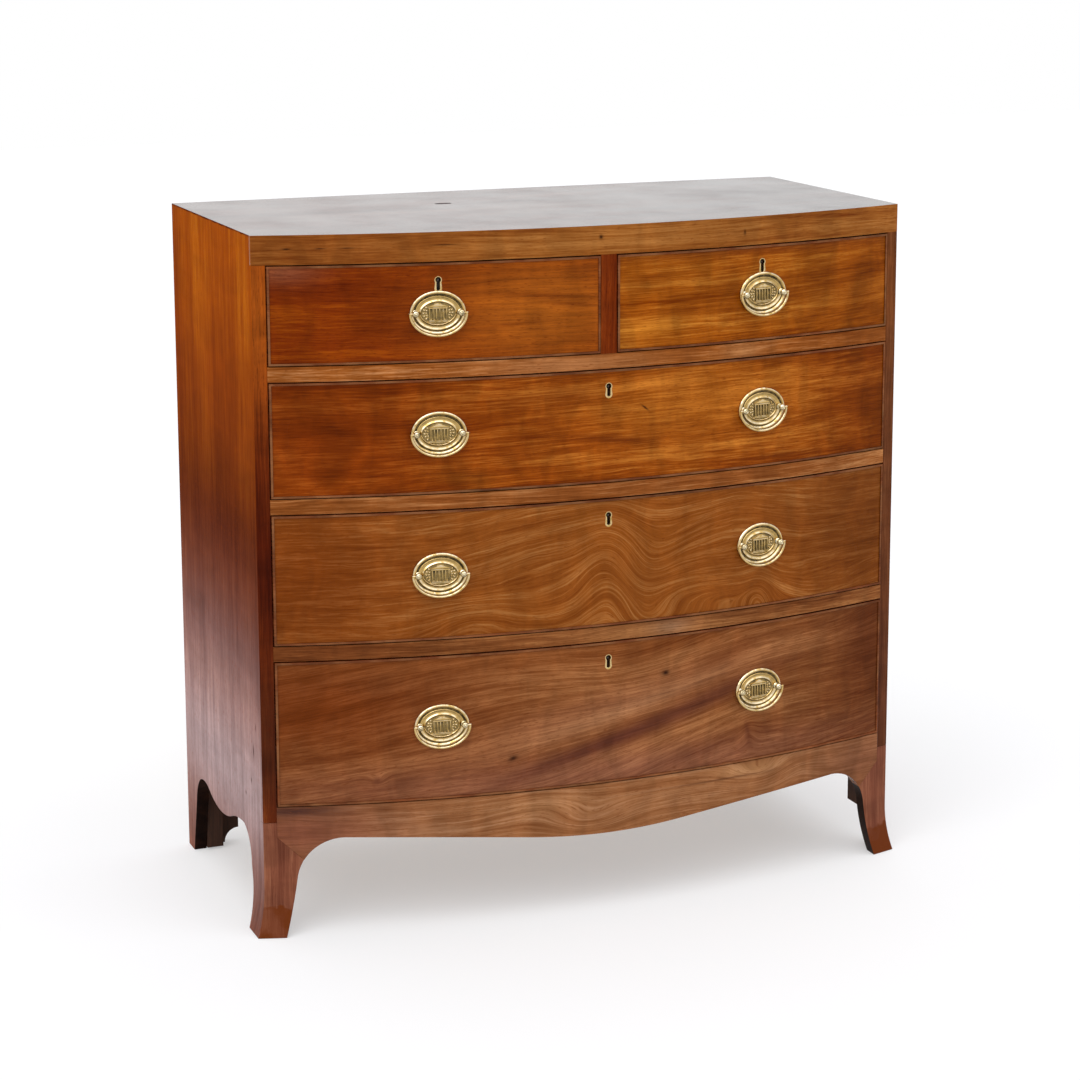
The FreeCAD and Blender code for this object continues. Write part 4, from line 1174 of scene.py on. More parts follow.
def portico():
    """A plain temple front between sprays of leaves, a common ornament of pressed plates."""
    forms = [
        relief("step_low", (0, -12.2, 2.2), (29, 1.6)),
        relief("step_mid", (0, -10.5, 2.5), (26.5, 1.4)),
        relief("architrave", (0, 6.9, 2.6), (27, 2.2)),
    ]
    for i in range(6):
        shaft = begin(
            "column",
            "cylinder",
            at=(-11.75 + 4.7 * i, -1.7, -1.9),
            size=(2.5, 2.9, 15.6),
            vertices=10,
        )
        edit(shaft)
        pick(shaft, "faces", lambda c: all(p.z > 5 for p in c))
        bpy.ops.transform.resize(value=(0.85, 0.85, 1))
        done()
        forms.append(shaft)
    forms.append(outlined("pediment", [(-14, 8.6), (14, 8.6), (0, 13.6)], 2.2, start=-3.0))
    for side in (-1, 1):
        for i in range(7):
            angle = math.radians(-54 + 18 * i)
            for reach, big in ((0.87, 2.6), (0.7, 2.2)):
                x = side * LEAF_RING[0] * reach * math.cos(angle)
                z = LEAF_RING[1] * reach * math.sin(angle)
                if abs(x) < 15:
                    continue
                forms.append(
                    begin(
                        "leaf",
                        "ico_sphere",
                        at=(x, -1.6, z),
                        size=(big * 1.25, 2.0, big * 0.8),
                        turn=(0, -angle * side, 0),
                        subdivisions=2,
                    )
                )
    return forms


def make_posts():
    """Two turned posts with ball heads, at their pitch, drawn once at the origin."""
    # Half a post's outline: distance from its axis, and height before the drawer front.
    line = [
        (0, 0.9),
        (4.4, 0.9),
        (4.8, 1.5),
        (4.3, 2.2),
        (3.0, 2.7),
        (2.7, 3.4),
        (3.5, 4.3),
        (4.4, 5.4),
        (4.9, 6.8),
        (4.7, 8.2),
        (4.0, 9.5),
        (3.0, 10.4),
        (2.6, 10.5),
        (2.3, 10.2),
        (1.7, 10.2),
        (1.5, 10.8),
        (0.9, 11.2),
        (0, 11.3),
    ]
    posts = []
    for sign in (-1, 1):
        post = begin("post", "plane", at=(0, -line[0][1], 0))
        edit(post)
        bpy.ops.mesh.merge(type="CENTER")
        bpy.ops.mesh.select_mode(type="VERT")
        everything()
        for (r1, h1), (r2, h2) in zip(line, line[1:]):
            push(x=r2 - r1, y=h1 - h2)
        everything()
        bpy.ops.mesh.spin(steps=24, angle=2 * math.pi, center=(0, 0, 0), axis=(0, 1, 0))
        true_up()
        everything()
        shift(x=POST_REACH * sign)
        done()
        posts.append(post)
    posts = join("posts", *posts)
    # Painted shade on what faces down and painted highlight on what faces up.
    painted_shade_by_facing(posts, 0.6)
    return smooth(posts, 40)


def make_nuts():
    """Square nuts and the ends of the threads inside the drawer."""
    nuts = []
    seat = 22.45
    for sign in (-1, 1):
        at = (POST_REACH * sign, seat + 2.5, 0)
        nut = begin("nut", "cube", at=at, size=(9, 5, 9))
        end = begin(
            "thread",
            "cylinder",
            at=(POST_REACH * sign, seat + 5.4, 0),
            size=(3.6, 3.6, 1.4),
            turn=(math.pi / 2, 0, 0),
            vertices=16,
        )
        nuts.append(soften(carve(nut, end, operation="UNION"), 0.5, 2))
    return join("nuts", *nuts)


def make_bail(sizes):
    """Drop handle: a half oval of wire, thickest below, with pointed tips and pins."""
    half_width, drop, axis = 39.6, 31.3, BAIL_AXIS
    wire = sizes.wire / MM
    steps = 40
    bail = begin("bail", "circle", at=(-half_width, -axis, 0), size=(wire, 3.8, 1), vertices=14)
    edit(bail)
    bpy.ops.mesh.spin(steps=steps, angle=math.pi, center=(0, -axis * MM, 0), axis=(0, 1, 0))
    for i in range(steps + 1):
        turn = math.pi * i / steps
        middle = Vector((-half_width * math.cos(turn), -axis, -half_width * math.sin(turn)))
        pick(bail, "verts", lambda c: (c[0] - middle).length < wire * 0.6)
        swell = 0.78 + 0.3 * math.sin(turn)
        bpy.ops.transform.resize(value=(swell, swell, swell), center_override=middle * MM)
    for sign in (-1, 1):
        for x, z, narrow in ((0.9, 0.9, 0.95), (1.3, 0.4, 0.8), (1.7, 0.3, 0.5)):
            pick_tip(bail, sign)
            push(x=x * sign, z=z)
            bpy.ops.transform.resize(value=(narrow, narrow, 1))
        pick_tip(bail, sign)
        bpy.ops.mesh.merge(type="CENTER")
    everything()
    bpy.ops.transform.resize(value=(1, 1, drop / half_width), center_override=(0, 0, 0))
    true_up()
    done()
    pins = [
        begin(
            "pin",
            "cylinder",
            at=(34.2 * sign, -axis, 0),
            size=(3.1, 3.1, 12.4),
            turn=(0, math.pi / 2, 0),
            vertices=14,
        )
        for sign in (-1, 1)
    ]
    carve(bail, *pins, operation="UNION")
    # Painted shade on what faces down and painted highlight on what faces up.
    painted_shade_by_facing(bail, 0.45)
    return smooth(bail, 45)


def pick_tip(bail, sign):
    """Select the open loop of edges at one end of the bail's wire."""
    bpy.ops.mesh.select_mode(type="EDGE")
    bpy.ops.mesh.select_all(action="DESELECT")
    mesh = bmesh.from_edit_mesh(bail.data)
    for line in mesh.edges:
        if len(line.link_faces) == 1 and line.verts[0].co.x * sign > 0:
            line.select_set(True)
    mesh.select_flush_mode()
    bmesh.update_edit_mesh(bail.data)


# ---- Finishes of this chest -------------------------------------------------------------------


def mahogany(name, colours, **figure):
    """Mahogany under French polish: deep red-brown with a gold glow where the grain turns."""
    settings = {
        "dark": colours.mahogany_dark,
        "body": colours.mahogany,
        "light": colours.mahogany_light,
    }
    tones = figure.pop("tones", None)
    if tones:
        settings.update(zip(("dark", "body", "light"), [linear(code) for code in tones]))
    return timber(name, **{**settings, **figure})


def plain_wood(name, body, **figure):
    """Unpolished oak or pine: matt, gone brown with age, with open grain."""
    dark = (body[0] * 0.5, body[1] * 0.45, body[2] * 0.38, 1.0)
    light = (min(body[0] * 1.35, 1), min(body[1] * 1.35, 1), min(body[2] * 1.35, 1), 1.0)
    settings = {"roughness": 0.62, "specular": 0.3, "coat": 0.0, "mottle": 0.12, "warp": 14.0}
    return timber(name, dark, body, light, **{**settings, **figure})


# How each front's grain runs: its tones from dark to light, then hills and patches as in timber.
DRAWER_FIGURES = {
    "drawer_1_left": {
        "tones": ("#581800", "#782c02", "#984606"),
        "contrast": 0.9,
        "seed": 1.3,
        "streak": 9.0,
        "slope": 0.6,
        "patches": (
            # Gold towards the muntin: partly the figure and partly painted light.
            ((-95, 888), (150, 85), 0, 0.85, "#a85a16"),
            ((-95, 906), (70, 5), -4, 0.6, "#602303"),
            ((-60, 893), (45, 3), -5, 0.55, "#5c2203"),
            ((-140, 868), (50, 3), 3, 0.5, "#642603"),
            ((-455, 950), (45, 16), 0, 0.35, "#a4694c"),
        ),
    },
    "drawer_1_right": {
        "tones": ("#743000", "#9e530e", "#c87f2c"),
        "seed": 4.1,
        "streak": 8.0,
        "slope": -1.2,
        "mottle": 0.28,
        "patches": (
            ((435, 880), (110, 110), 0, 0.75, "#783804"),
            ((250, 956), (260, 10), 0, 0.5, "#5d2412"),
            ((185, 906), (34, 16), 0, 0.5, "#703404"),
            ((55, 915), (40, 12), 8, 0.45, "#6c3004"),
            ((60, 850), (50, 12), 5, 0.5, "#b8701e"),
        ),
    },
    "drawer_2": {
        "tones": ("#672400", "#92460a", "#c4772a"),
        "seed": 7.7,
        "streak": 10.0,
        "slope": -0.8,
        "mottle": 0.28,
        "patches": (
            ((-410, 715), (200, 140), 0, 0.85, "#762c02"),
            ((160, 740), (180, 60), 0, 0.45, "#ac6218"),
            ((450, 715), (100, 110), 0, 0.75, "#6d2f03"),
            ((0, 697), (70, 7), -8, 0.65, "#5a2103"),
            ((-75, 766), (55, 14), 0, 0.4, "#6a2a04"),
            ((285, 648), (60, 5), 0, 0.6, "#5a2204"),
            ((-210, 655), (50, 10), -6, 0.4, "#a05a18"),
            ((56, 738), (7, 1.4), -38, 0.95, "#240a02"),
        ),
    },
    "drawer_3": {
        "tones": ("#6a2e04", "#8c4c18", "#b47a42"),
        "seed": 11.9,
        "streak": 2.5,
        "line": 1.0,
        "contrast": 0.58,
        "warp": 8.0,
        "waver": 2.0,
        "hills": (
            ((-70, 560), (120, 90), 0, -34),
            ((0, 505), (42, 110), 0, -30),
            ((70, 515), (40, 50), -30, 18),
            ((190, 452), (120, 26), -4, -30),
            ((62, 425), (50, 48), 0, 24),
            ((215, 570), (90, 55), 0, -24),
            ((246, 425), (24, 60), 0, -28),
            ((320, 440), (70, 40), -20, 20),
            ((-190, 445), (70, 26), 8, -20),
            ((-120, 462), (70, 30), 8, 14),
            ((-300, 432), (90, 24), 0, 12),
            ((400, 445), (60, 26), 0, 14),
        ),
        "patches": (
            ((-440, 520), (150, 150), 0, 0.75, "#6f3006"),
            ((-250, 430), (150, 16), 0, 0.4, "#74390f"),
            ((440, 520), (110, 120), 0, 0.8, "#643109"),
            ((60, 545), (60, 25), 0, 0.3, "#7c420f"),
            ((-40, 585), (16, 26), 0, 0.35, "#7c420f"),
        ),
    },
    "drawer_4": {
        "tones": ("#602a0a", "#864f28", "#b07648"),
        "seed": 17.2,
        "streak": 8.0,
        "slope": -7.0,
        "warp": 10.0,
        "contrast": 0.85,
        "hills": (
            ((-200, 345), (200, 60), 0, -16),
            ((30, 390), (120, 60), 0, 18),
            ((-120, 210), (120, 50), 0, 12),
            ((250, 270), (180, 60), 18, -26),
            ((-338, 224), (14, 10), 0, 8),
            ((232, 232), (14, 20), 0, -8),
            ((400, 370), (120, 60), 0, 14),
        ),
        "patches": (
            ((-420, 335), (260, 115), 0, 0.85, "#642803"),
            ((-60, 395), (400, 22), 0, 0.5, "#74390f"),
            # A pale mauve band along the bottom edge: a painted reflection of the floor in the
            # polish.
            ((0, 205), (500, 35), 0, 0.4, "#84584c"),
            ((-20, 300), (210, 26), 12, 0.35, "#9e6a4c"),
            ((190, 355), (50, 16), 10, 0.6, "#643012"),
            ((8, 254), (235, 14), 15.6, 0.95, "#5c3022"),
            ((40, 300), (190, 12), 14, 0.4, "#a87854"),
            ((170, 300), (120, 14), 20, 0.5, "#643624"),
            ((460, 340), (95, 150), 0, 0.85, "#522208"),
            ((91, 345), (6, 4), 0, 0.95, "#200a04"),
            ((-144, 243), (7, 4), 20, 0.9, "#260e06"),
            ((-338, 224), (7, 6), 0, 0.6, "#4a2014"),
            ((230, 236), (5, 16), 10, 0.6, "#54281a"),
        ),
    },
}


PICTURE = 1080
SENSOR = 36.0
FOCAL_PIXELS = 2825.54
OPTICAL_CENTRE = (540, 430)
CAMERA_AT = (-1518.7, -3857.5, 1468.4)
CAMERA_TURN = (-21.4237, -10.9748, -0.1727)
# Each lamp: name, strength, spread in degrees, and where it stands.
LAMPS = (
    ("lamp_left", 1.15, 50, (-0.55, -0.5, 0.85)),
    ("lamp_right", 0.45, 60, (0.35, -0.75, 0.8)),
    ("lamp_above", 1.05, 80, (0.1, 0.1, 1.0)),
)
ROOM_LIGHT = 0.44
FLOOR_GLOW = 0.4


class CHEST_OT_stage(bpy.types.Operator):
    """Set up the pale floor, the soft lamps, the white surroundings and the camera"""

    bl_idname = "chest.stage"
    bl_label = "Stage"

    def execute(self, context):
        scene = context.scene
        floor = begin("floor", "plane", at=(0, 0, -0.5), size=(24000, 24000, 1))
        floor.data.materials.append(floor_finish(scene.chest_colours.floor))
        scene.world = surroundings()
        scene.view_settings.view_transform = "Standard"
        for name, strength, spread, toward in LAMPS:
            bpy.ops.object.light_add(type="SUN")
            lamp = context.active_object
            lamp.name = name
            lamp.data.energy = strength
            lamp.data.angle = math.radians(spread)
            lamp.rotation_euler = Vector(toward).to_track_quat("Z", "Y").to_euler()
        bpy.ops.object.camera_add(location=[v * MM for v in CAMERA_AT])
        camera = context.active_object
        camera.name = "camera"
        yaw, pitch, roll = (math.radians(v) for v in CAMERA_TURN)
        camera.rotation_mode = "QUATERNION"
        forward = Vector(
            (-math.sin(yaw) * math.cos(pitch), math.cos(yaw) * math.cos(pitch), math.sin(pitch))
        )
        aimed = forward.to_track_quat("-Z", "Y")
        camera.rotation_quaternion = aimed @ Quaternion((0, 0, 1), roll)
        camera.data.sensor_width = SENSOR
        camera.data.lens = FOCAL_PIXELS * SENSOR / PICTURE
        camera.data.shift_x = (PICTURE / 2 - OPTICAL_CENTRE[0]) / PICTURE
        camera.data.shift_y = (OPTICAL_CENTRE[1] - PICTURE / 2) / PICTURE
        camera.data.clip_end = 100
        scene.camera = camera
        return {"FINISHED"}


def floor_finish(colour):
    """Seamless paper: matt and even, a little uneven where it was rolled, white to the eye."""
    finish = Finish("paper_floor")
    place = finish.add("TexCoord", out="Object")
    cloud = finish.add("TexNoise", place, named={"Scale": 2.0, "Detail": 2.0})
    tint = finish.add(
        "Mix", cloud, named={6: colour, 7: linear("#f9fafd")}, out=2, data_type="RGBA"
    )
    paper = finish.add("BsdfDiffuse", tint)
    glow = finish.add("Emission", (1, 1, 1, 1), 1.0)
    seen = finish.add("LightPath", out="Is Camera Ray")
    share = finish.add("Math", seen, FLOOR_GLOW, operation="MULTIPLY")
    surface = finish.add("MixShader", share, paper, glow)
    finish.add("OutputMaterial", surface)
    return finish.material


def surroundings():
    """White to the eye, to metal and to glass; a soft even light for everything else."""
    finish = Finish("white_studio", "worlds")
    rays = finish.add("LightPath").node.outputs
    seen = finish.add(
        "Math", rays["Is Camera Ray"], rays["Is Glossy Ray"], operation="MAXIMUM"
    )
    seen = finish.add("Math", seen, rays["Is Transmission Ray"], operation="MAXIMUM")
    light = finish.add("Background", (1, 1, 1, 1), ROOM_LIGHT)
    white = finish.add("Background", (1, 1, 1, 1), 1.0)
    surface = finish.add("MixShader", seen, light, white)
    finish.add("OutputWorld", surface)
    return finish.material


def band_finish(colours):
    """The band over the drawers: the frieze rail and the front edge of the top, one figure."""
    return mahogany(
        "polished_mahogany_band",
        colours,
        tones=("#70340a", "#90541f", "#ac7036"),
        seed=23.0,
        patches=(
            ((-400, 980), (170, 30), 0, 0.4, "#7f3c10"),
            ((-448, 981), (6, 1.1), 0, 0.95, "#1c0a04"),
            ((-404, 981), (7, 0.9), 0, 0.9, "#240d05"),
            ((-368, 981), (9, 0.8), 0, 0.8, "#240d05"),
            ((-238, 982), (16, 0.9), 0, 0.9, "#200b04"),
            ((-12, 984), (3, 3), 0, 0.95, "#1a0703"),
            ((216, 978), (2, 4), 0, 0.8, "#2a1206"),
        ),
        wear=(("front corner", 1.0, "#9c5218"),),
    )


# The front edges of the sides, left and right, and the rails: tones, and patches as in timber.
STILE_FIGURES = {
    -1: {
        "tones": ("#4f1602", "#7a300b", "#9c4c1a"),
        "patches": (
            ((-485, 900), (60, 140), 0, 0.9, "#a85212"),
            ((-485, 540), (70, 160), 0, 0.9, "#3e0c01"),
            ((-485, 260), (70, 150), 0, 0.9, "#3c1a0c"),
        ),
    },
    1: {
        "tones": ("#4c240f", "#6a3a1e", "#845232"),
        "patches": (
            ((485, 900), (60, 120), 0, 0.5, "#7a4218"),
            ((485, 260), (70, 150), 0, 0.6, "#583020"),
        ),
    },
}
RAIL_TONES = {
    "divider_rail_3": ("#5a2c0e", "#804a24", "#a87040"),
    "divider_rail_2": ("#6a330c", "#8e5022", "#b97e4c"),
    "divider_rail_1": ("#703409", "#965420", "#c48654"),
}
RAIL_PATCHES = {
    "divider_rail_1": (
        ((-60, 806), (110, 14), 0, 0.6, "#b4784a"),
        ((215, 806), (30, 14), 0, 0.5, "#bc8250"),
        ((440, 806), (60, 20), 0, 0.5, "#7c3f12"),
    ),
    "divider_rail_2": (((-420, 620), (80, 20), 0, 0.5, "#7c4216"),),
    "divider_rail_3": (
        ((-430, 413), (120, 20), 0, 0.6, "#6a3414"),
        ((60, 413), (120, 20), 0, 0.5, "#98663c"),
        ((100, 413), (30, 12), 0, 0.4, "#7c6654"),
    ),
}


class CHEST_OT_carcass(bpy.types.Operator):
    """Make the top, the sides, the rails and the upright between the short drawers"""

    bl_idname = "chest.carcass"
    bl_label = "Carcass"

    def execute(self, context):
        sizes, colours = context.scene.chest_sizes, context.scene.chest_colours
        arris = sizes.arris / MM
        # The top mirrors the room: a hard, smooth coat over wood that reads dark and cool.
        polished = mahogany(
            "polished_mahogany_top",
            colours,
            across="y",
            tones=("#28110a", "#442015", "#643827"),
            seed=3.0,
            # The pale patch to the left and the dark one to the right are painted reflection on the
            # polish.
            patches=(
                ((-350, 60), (300, 250), 0, 0.4, "#5e4038"),
                ((-100, 10), (300, 12), 3, 0.45, "#86685c"),
                ((150, 60), (260, 9), 2, 0.45, "#7c6056"),
                ((400, 40), (220, 260), 0, 0.7, "#2a1410"),
            ),
            roughness=0.16,
            specular=0.5,
            coat=0.17,
        )
        band = band_finish(colours)
        top = hand_over(make_top(arris), "carcass", "mahogany", polished, "top_board")
        second_finish(top, band, lambda normal, middle: normal.z < 0.5 and middle.y < LAP)
        # The knot has lost its polish, so it breaks the mirror of the top: grey and matt.
        dry = mahogany(
            "dry_mahogany_knot",
            colours,
            across="y",
            tones=("#120a08", "#2a1c18", "#4a3a36"),
            seed=5.0,
            patches=((KNOT_AT, (7, 3.4), 0, 1.0, "#8a8080"),),
            roughness=0.7,
            specular=0.0,
        )
        hand_over(soften(make_knot(), 0.3, 1), "carcass", "mahogany", dry, "top_board")
        hand_over(make_frieze(arris), "carcass", "mahogany", band, "frieze_rail")
        # Sawn edges of the cut-outs: near black, a painted shade so that the cut-outs read as deep.
        painted_shade = mahogany(
            "grimy_mahogany",
            colours,
            along="z",
            across="y",
            tones=("#140906", "#22110a", "#341c10"),
            seed=75.0,
        )
        for name, sign in (("side_left", -1), ("side_right", 1)):
            panel = make_side(name, sign, arris)
            hand_over(panel, "carcass", "mahogany", side_finish(name, colours), name)
            # The front edge of a side: darker than its flank, and darker still further down.
            stile = mahogany(
                f"polished_mahogany_stile{name[4:]}",
                colours,
                along="z",
                across="x",
                seed=35.0 + sign,
                **STILE_FIGURES[sign],
            )
            second_finish(panel, stile, lambda normal, middle: normal.y < -0.8 and middle.y < LAP)
            second_finish(
                panel, painted_shade, lambda normal, middle: normal.y < -0.2 and middle.y > -140
            )
        wood = apron_finish(colours)
        rails = {
            "bottom_rail": (FOOT_TOP, FLOOR[4]),
            "divider_rail_3": (CEILING[4], FLOOR[3]),
            "divider_rail_2": (CEILING[3], FLOOR[2]),
            "divider_rail_1": (CEILING[2], FLOOR[1]),
        }
        for number, (name, levels) in enumerate(rails.items()):
            rail = bow_board(name, (-INNER, INNER), levels, 0, back=RAIL_BACK)
            if name != "bottom_rail":
                carve(rail, mortise(0, levels[0] - 1))
                # The rails: less red than the fronts, so that each drawer stands out from its frame.
                wood = mahogany(
                    f"polished_mahogany_{name}",
                    colours,
                    tones=RAIL_TONES[name],
                    seed=41.0 + number,
                    streak=5.0,
                    patches=RAIL_PATCHES[name],
                )
            hand_over(soften(rail, arris * 0.5), "carcass", "mahogany", wood, name)
        across = (-MUNTIN_HALF, MUNTIN_HALF)
        muntin = bow_board("muntin", across, (FLOOR[1], CEILING[1]), 0, back=RAIL_BACK, steps=6)
        # The muntin: dark upright grain that parts the two short drawers.
        wood = mahogany(
            "polished_mahogany_muntin",
            colours,
            along="z",
            across="x",
            tones=("#4a1301", "#6e2804", "#86380c"),
            seed=51.0,
        )
        hand_over(soften(muntin, arris * 0.5), "carcass", "mahogany", wood, "muntin")
        return {"FINISHED"}


def apron_finish(colours):
    """The apron and the rail above it: one figure, curled in the middle, browner at its ends."""
    return mahogany(
        "polished_mahogany_apron",
        colours,
        tones=("#74401f", "#94603a", "#b4825c"),
        seed=61.0,
        streak=5.0,
        line=1.0,
        contrast=0.75,
        hills=(
            ((-26, 140), (60, 26), 0, 20),
            ((-110, 165), (70, 30), 0, -12),
            ((250, 172), (60, 20), 0, 24),
            ((320, 160), (40, 20), 0, -14),
        ),
        patches=(
            ((-450, 150), (150, 60), 0, 0.95, "#70402e"),
            ((450, 150), (110, 60), 0, 0.85, "#784a32"),
            ((-100, 168), (70, 14), 0, 0.4, "#ac7a50"),
            ((230, 178), (60, 10), 0, 0.45, "#b4865a"),
            ((-450, 184), (60, 8), 0, 0.85, "#38201e"),
            ((180, 170), (80, 1.2), 0, 0.8, "#5a3420"),
        ),
    )


def side_finish(name, colours):
    """A side panel: gold above and dark brown in the middle, painted light falling on its upper
    part; pale mauve lower down, a painted reflection of the floor in the polish with some haze of
    wax and dust.
    """
    return mahogany(
        f"polished_mahogany_{name}",
        colours,
        along="z",
        across="y",
        tones=("#8a3800", "#a44c04", "#c26a10"),
        seed=30.0 if name == "side_left" else 32.0,
        streak=14.0,
        patches=(
            # Gold above and dark brown in the middle: painted light, brighter where it falls on the
            # upper part.
            ((0, 750), (600, 120), 0, 0.6, "#843402"),
            ((235, 900), (26, 400), 0, 0.6, "#7a2c02"),
            ((150, 850), (9, 300), 0, 0.35, "#7e3204"),
            ((0, 560), (700, 150), 0, 0.92, "#561e05"),
            # Pale mauve lower down: a painted reflection of the floor in the polish, with some haze
            # of wax and dust; greyer brown at the legs.
            ((0, 395), (700, 110), 0, 0.8, "#603a34"),
            ((0, 190), (900, 160), 0, 0.95, "#b09a9a"),
            ((0, 40), (900, 80), 0, 0.7, "#7c5c55"),
            ((-135, 262), (3, 9), 0, 0.8, "#3a1c14"),
            ((-148, 300), (2, 5), 0, 0.7, "#3a1c14"),
            ((-120, 215), (3, 4), 0, 0.7, "#3a1c14"),
            ((-90, 188), (4, 3), 0, 0.6, "#45241a"),
        ),
        mottle=0.1,
        contrast=0.95,
        wear=(("top arris", 1.5, "#5c2204"),),
        specular=0.0,
        coat=0.02,
    )


class CHEST_OT_feet(bpy.types.Operator):
    """Make the apron and the two splayed front feet"""

    bl_idname = "chest.feet"
    bl_label = "Apron and front feet"

    def execute(self, context):
        sizes, colours = context.scene.chest_sizes, context.scene.chest_colours
        arris = sizes.arris / MM
        wood = bpy.data.materials["polished_mahogany_apron"]
        hand_over(make_apron(arris), "carcass", "mahogany", wood, "apron")
        for name, sign in (("front_foot_left", -1), ("front_foot_right", 1)):
            # The feet: a greyed, mauve brown, rubbed warm again along their lower edge.
            wood = mahogany(
                f"polished_mahogany_{name}",
                colours,
                along="z",
                across="x",
                tones=("#683828", "#804b36", "#966248"),
                seed=71.0 + sign,
                wear=(("lower edge", 1.4, "#6a3214"),),
            )
            foot = make_foot(name, sign, arris)
            inner = bpy.data.materials["grimy_mahogany"]
            hand_over(foot, "carcass", "mahogany", wood, "front_feet")
            flank = bpy.data.materials[f"polished_mahogany_side{name[10:]}"]
            second_finish(foot, flank, lambda normal, middle: normal.x * sign > 0.8)
            # The inner and back faces of a foot: the same near black, a painted shade.
            second_finish(
                foot, inner, lambda normal, middle: normal.y > -0.6 and normal.x * sign < 0.5
            )
        return {"FINISHED"}


class CHEST_OT_drawers(bpy.types.Operator):
    """Make the drawer fronts, their cock beads and their dovetailed boxes"""

    bl_idname = "chest.drawers"
    bl_label = "Drawers"

    def execute(self, context):
        sizes, colours = context.scene.chest_sizes, context.scene.chest_colours
        # The linings: dry, brown and open in the grain, next to fronts that shine.
        oak = plain_wood("aged_oak_linings", colours.oak, along="y", across="z", streak=5.0)
        # The backs of the fronts: bare mahogany that never had any polish, pale and matt.
        raw = plain_wood("raw_mahogany", linear("#8a5a36"), seed=91.0, streak=8.0)
        # The beads: dark red, paler along their noses, partly where hands have rubbed them and
        # partly as a painted highlight, so they draw a line.
        nose = mahogany(
            "polished_mahogany_bead",
            colours,
            tones=("#300e04", "#5c240e", "#7e4020"),
            seed=81.0,
            wear=(("bead nose", 0.45, "#a8764c"),),
        )
        for name, (row, opening, _, lock_x) in DRAWERS.items():
            left, right = front_spans(row, opening)[:2]
            # The fronts: each has a figure of its own, from quiet stripes to a wide curl.
            wood = mahogany(f"polished_mahogany_{name}", colours, **DRAWER_FIGURES[name])
            front = make_front(name, row, opening, lock_x, sizes)
            hand_over(front, name, "mahogany", wood, f"{name}_front")
            second_finish(front, raw, lambda normal, middle: normal.y > -0.5)
            bead = make_bead(name, row, opening, sizes)
            hand_over(bead, name, "mahogany", nose, f"{name}_cockbead")
            for label, sign, outer in (("left", -1, left), ("right", 1, right)):
                side = make_drawer_side(f"{name}_side_{label}", row, sign, outer, sizes)
                hand_over(side, name, "oak", oak, f"{name}_box")
            back = make_drawer_back(f"{name}_back", row, left, right, sizes)
            hand_over(back, name, "oak", oak, f"{name}_box")
        return {"FINISHED"}


class CHEST_OT_pulls(bpy.types.Operator):
    """Make the stamped plates, posts, nuts and drop handles, and set them on the bow"""

    bl_idname = "chest.pulls"
    bl_label = "Pulls"

    def execute(self, context):
        sizes, colours = context.scene.chest_sizes, context.scene.chest_colours
        # Plates and handles: gold on what stands high, brown-green in the hollows, painted shade on
        # what faces down and painted highlights on what faces up.
        bright = brass("polished_brass", colours.brass, colours.patina, 0.13, 0.35)
        # The posts: whiter than the plates, because fingers keep rubbing them.
        rubbed_and_highlit = brass("rubbed_brass_posts", linear("#bfae84"), linear("#2c2418"), 0.15, 0.6)
        plate, posts, nuts, bail = make_plate(sizes), make_posts(), make_nuts(), make_bail(sizes)
        for name, (row, _, pulls, _) in DRAWERS.items():
            for side, x in pulls.items():
                z = PULL_LEVEL[row]
                node = f"{name}_brasses"
                for pattern, label, metal in (
                    (plate, "plate", bright),
                    (posts, "posts", rubbed_and_highlit),
                    (nuts, "nuts", bright),
                ):
                    piece = set_on_bow(pattern, f"{name}_{label}{side}", x, z)
                    hand_over(piece, name, "brass", metal, node)
                drop = set_on_bow(bail, f"{name}_drop{side}", x, z)
                hanging = f"{name}_bail{side}"
                hand_over(drop, hanging, "brass", bright, hanging)
        for pattern in (plate, posts, nuts, bail):
            bpy.data.objects.remove(pattern)
        return {"FINISHED"}


class CHEST_OT_keyholes(bpy.types.Operator):
    """Make the brass keyhole linings"""

    bl_idname = "chest.keyholes"
    bl_label = "Keyholes"

    def execute(self, context):
        colours = context.scene.chest_colours
        # The linings: duller than the pulls, a thin gold edge round a dark hole.
        bright = brass("polished_brass_lining", colours.brass, colours.patina, 0.25, 0.4)
        lining = make_lining()
        for name, (row, _, _, lock_x) in DRAWERS.items():
            z = CEILING[row] - TOP_GAP - KEYHOLE_DEPTH
            piece = set_on_bow(lining, f"{name}_keyhole_lining", lock_x, z)
            hand_over(piece, name, "brass", bright, f"{name}_brasses")
        bpy.data.objects.remove(lining)
        return {"FINISHED"}


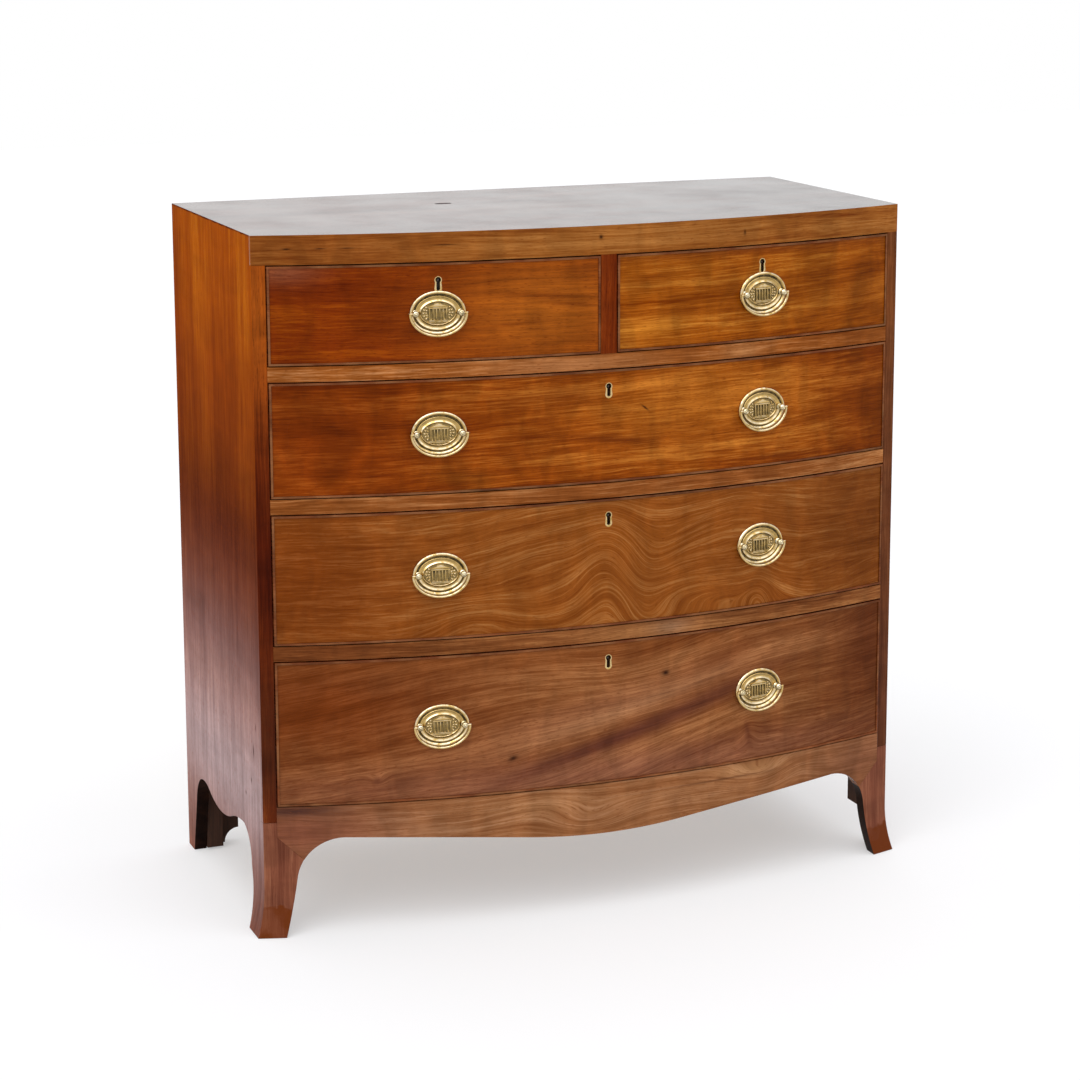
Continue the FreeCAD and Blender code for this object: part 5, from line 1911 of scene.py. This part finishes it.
class CHEST_OT_inner_parts(bpy.types.Operator):
    """Give the back, the bottoms, the blocks, the runners and the locks their finishes"""

    bl_idname = "chest.inner_parts"
    bl_label = "Inner parts"

    def execute(self, context):
        colours = context.scene.chest_colours
        # Back boards: pale pine, upright and plain. Bottoms: the same wood, lengthwise.
        upright = plain_wood("aged_pine_upright", colours.pine, along="z", across="x", seed=2.0)
        lengthwise = plain_wood("aged_pine_lengthwise", colours.pine, across="y", seed=5.0)
        # Blocks and brackets: near black, a painted shade so that the space under the chest reads as
        # dark.
        painted_shade = plain_wood(
            "sooty_pine_blocks", linear("#3a2010"), along="z", across="x", seed=12.0
        )
        # Runners: oak, browner than the pine round them.
        runner = plain_wood("aged_oak_runners", colours.oak, along="y", across="z", seed=8.0)
        # Locks and bolts: dark, cloudy iron with a little rust.
        metal = iron("dull_iron_lock", colours.iron)
        finishes = {
            "back_boards": upright,
            "bottom_board": lengthwise,
            "back_brackets": painted_shade,
            "glue_blocks": painted_shade,
            "runners_and_stops": runner,
        }
        for name in DRAWERS:
            finishes[f"{name}_bottom"] = lengthwise
            finishes[f"{name}_lock"] = metal
            finishes[f"{name}_bolt"] = metal
        for node, material in finishes.items():
            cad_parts[node].data.materials.clear()
            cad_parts[node].data.materials.append(material)
        return {"FINISHED"}


OPERATORS = (
    CHEST_OT_stage,
    CHEST_OT_carcass,
    CHEST_OT_feet,
    CHEST_OT_drawers,
    CHEST_OT_pulls,
    CHEST_OT_keyholes,
    CHEST_OT_inner_parts,
)


class CHEST_PT_panel(bpy.types.Panel):
    """Sizes, colours and steps of the chest"""

    bl_idname = "CHEST_PT_panel"
    bl_label = "Bow front chest"
    bl_space_type = "VIEW_3D"
    bl_region_type = "UI"
    bl_category = "Chest"

    def draw(self, context):
        for group in (context.scene.chest_sizes, context.scene.chest_colours):
            column = self.layout.column(align=True)
            for name in group.bl_rna.properties.keys():
                if name not in ("rna_type", "name"):
                    column.prop(group, name)
        for step in OPERATORS:
            self.layout.operator(step.bl_idname)


CLASSES = (ChestSizes, ChestColours, *OPERATORS, CHEST_PT_panel)


def register():
    for each in CLASSES:
        bpy.utils.register_class(each)
    bpy.types.Scene.chest_sizes = bpy.props.PointerProperty(type=ChestSizes)
    bpy.types.Scene.chest_colours = bpy.props.PointerProperty(type=ChestColours)


def unregister():
    del bpy.types.Scene.chest_colours
    del bpy.types.Scene.chest_sizes
    for each in reversed(CLASSES):
        bpy.utils.unregister_class(each)


def main():
    register()
    bpy.ops.chest.stage()
    bpy.ops.chest.carcass()
    bpy.ops.chest.feet()
    bpy.ops.chest.drawers()
    bpy.ops.chest.pulls()
    bpy.ops.chest.keyholes()
    bpy.ops.chest.inner_parts()


if __name__ == "__main__":
    main()
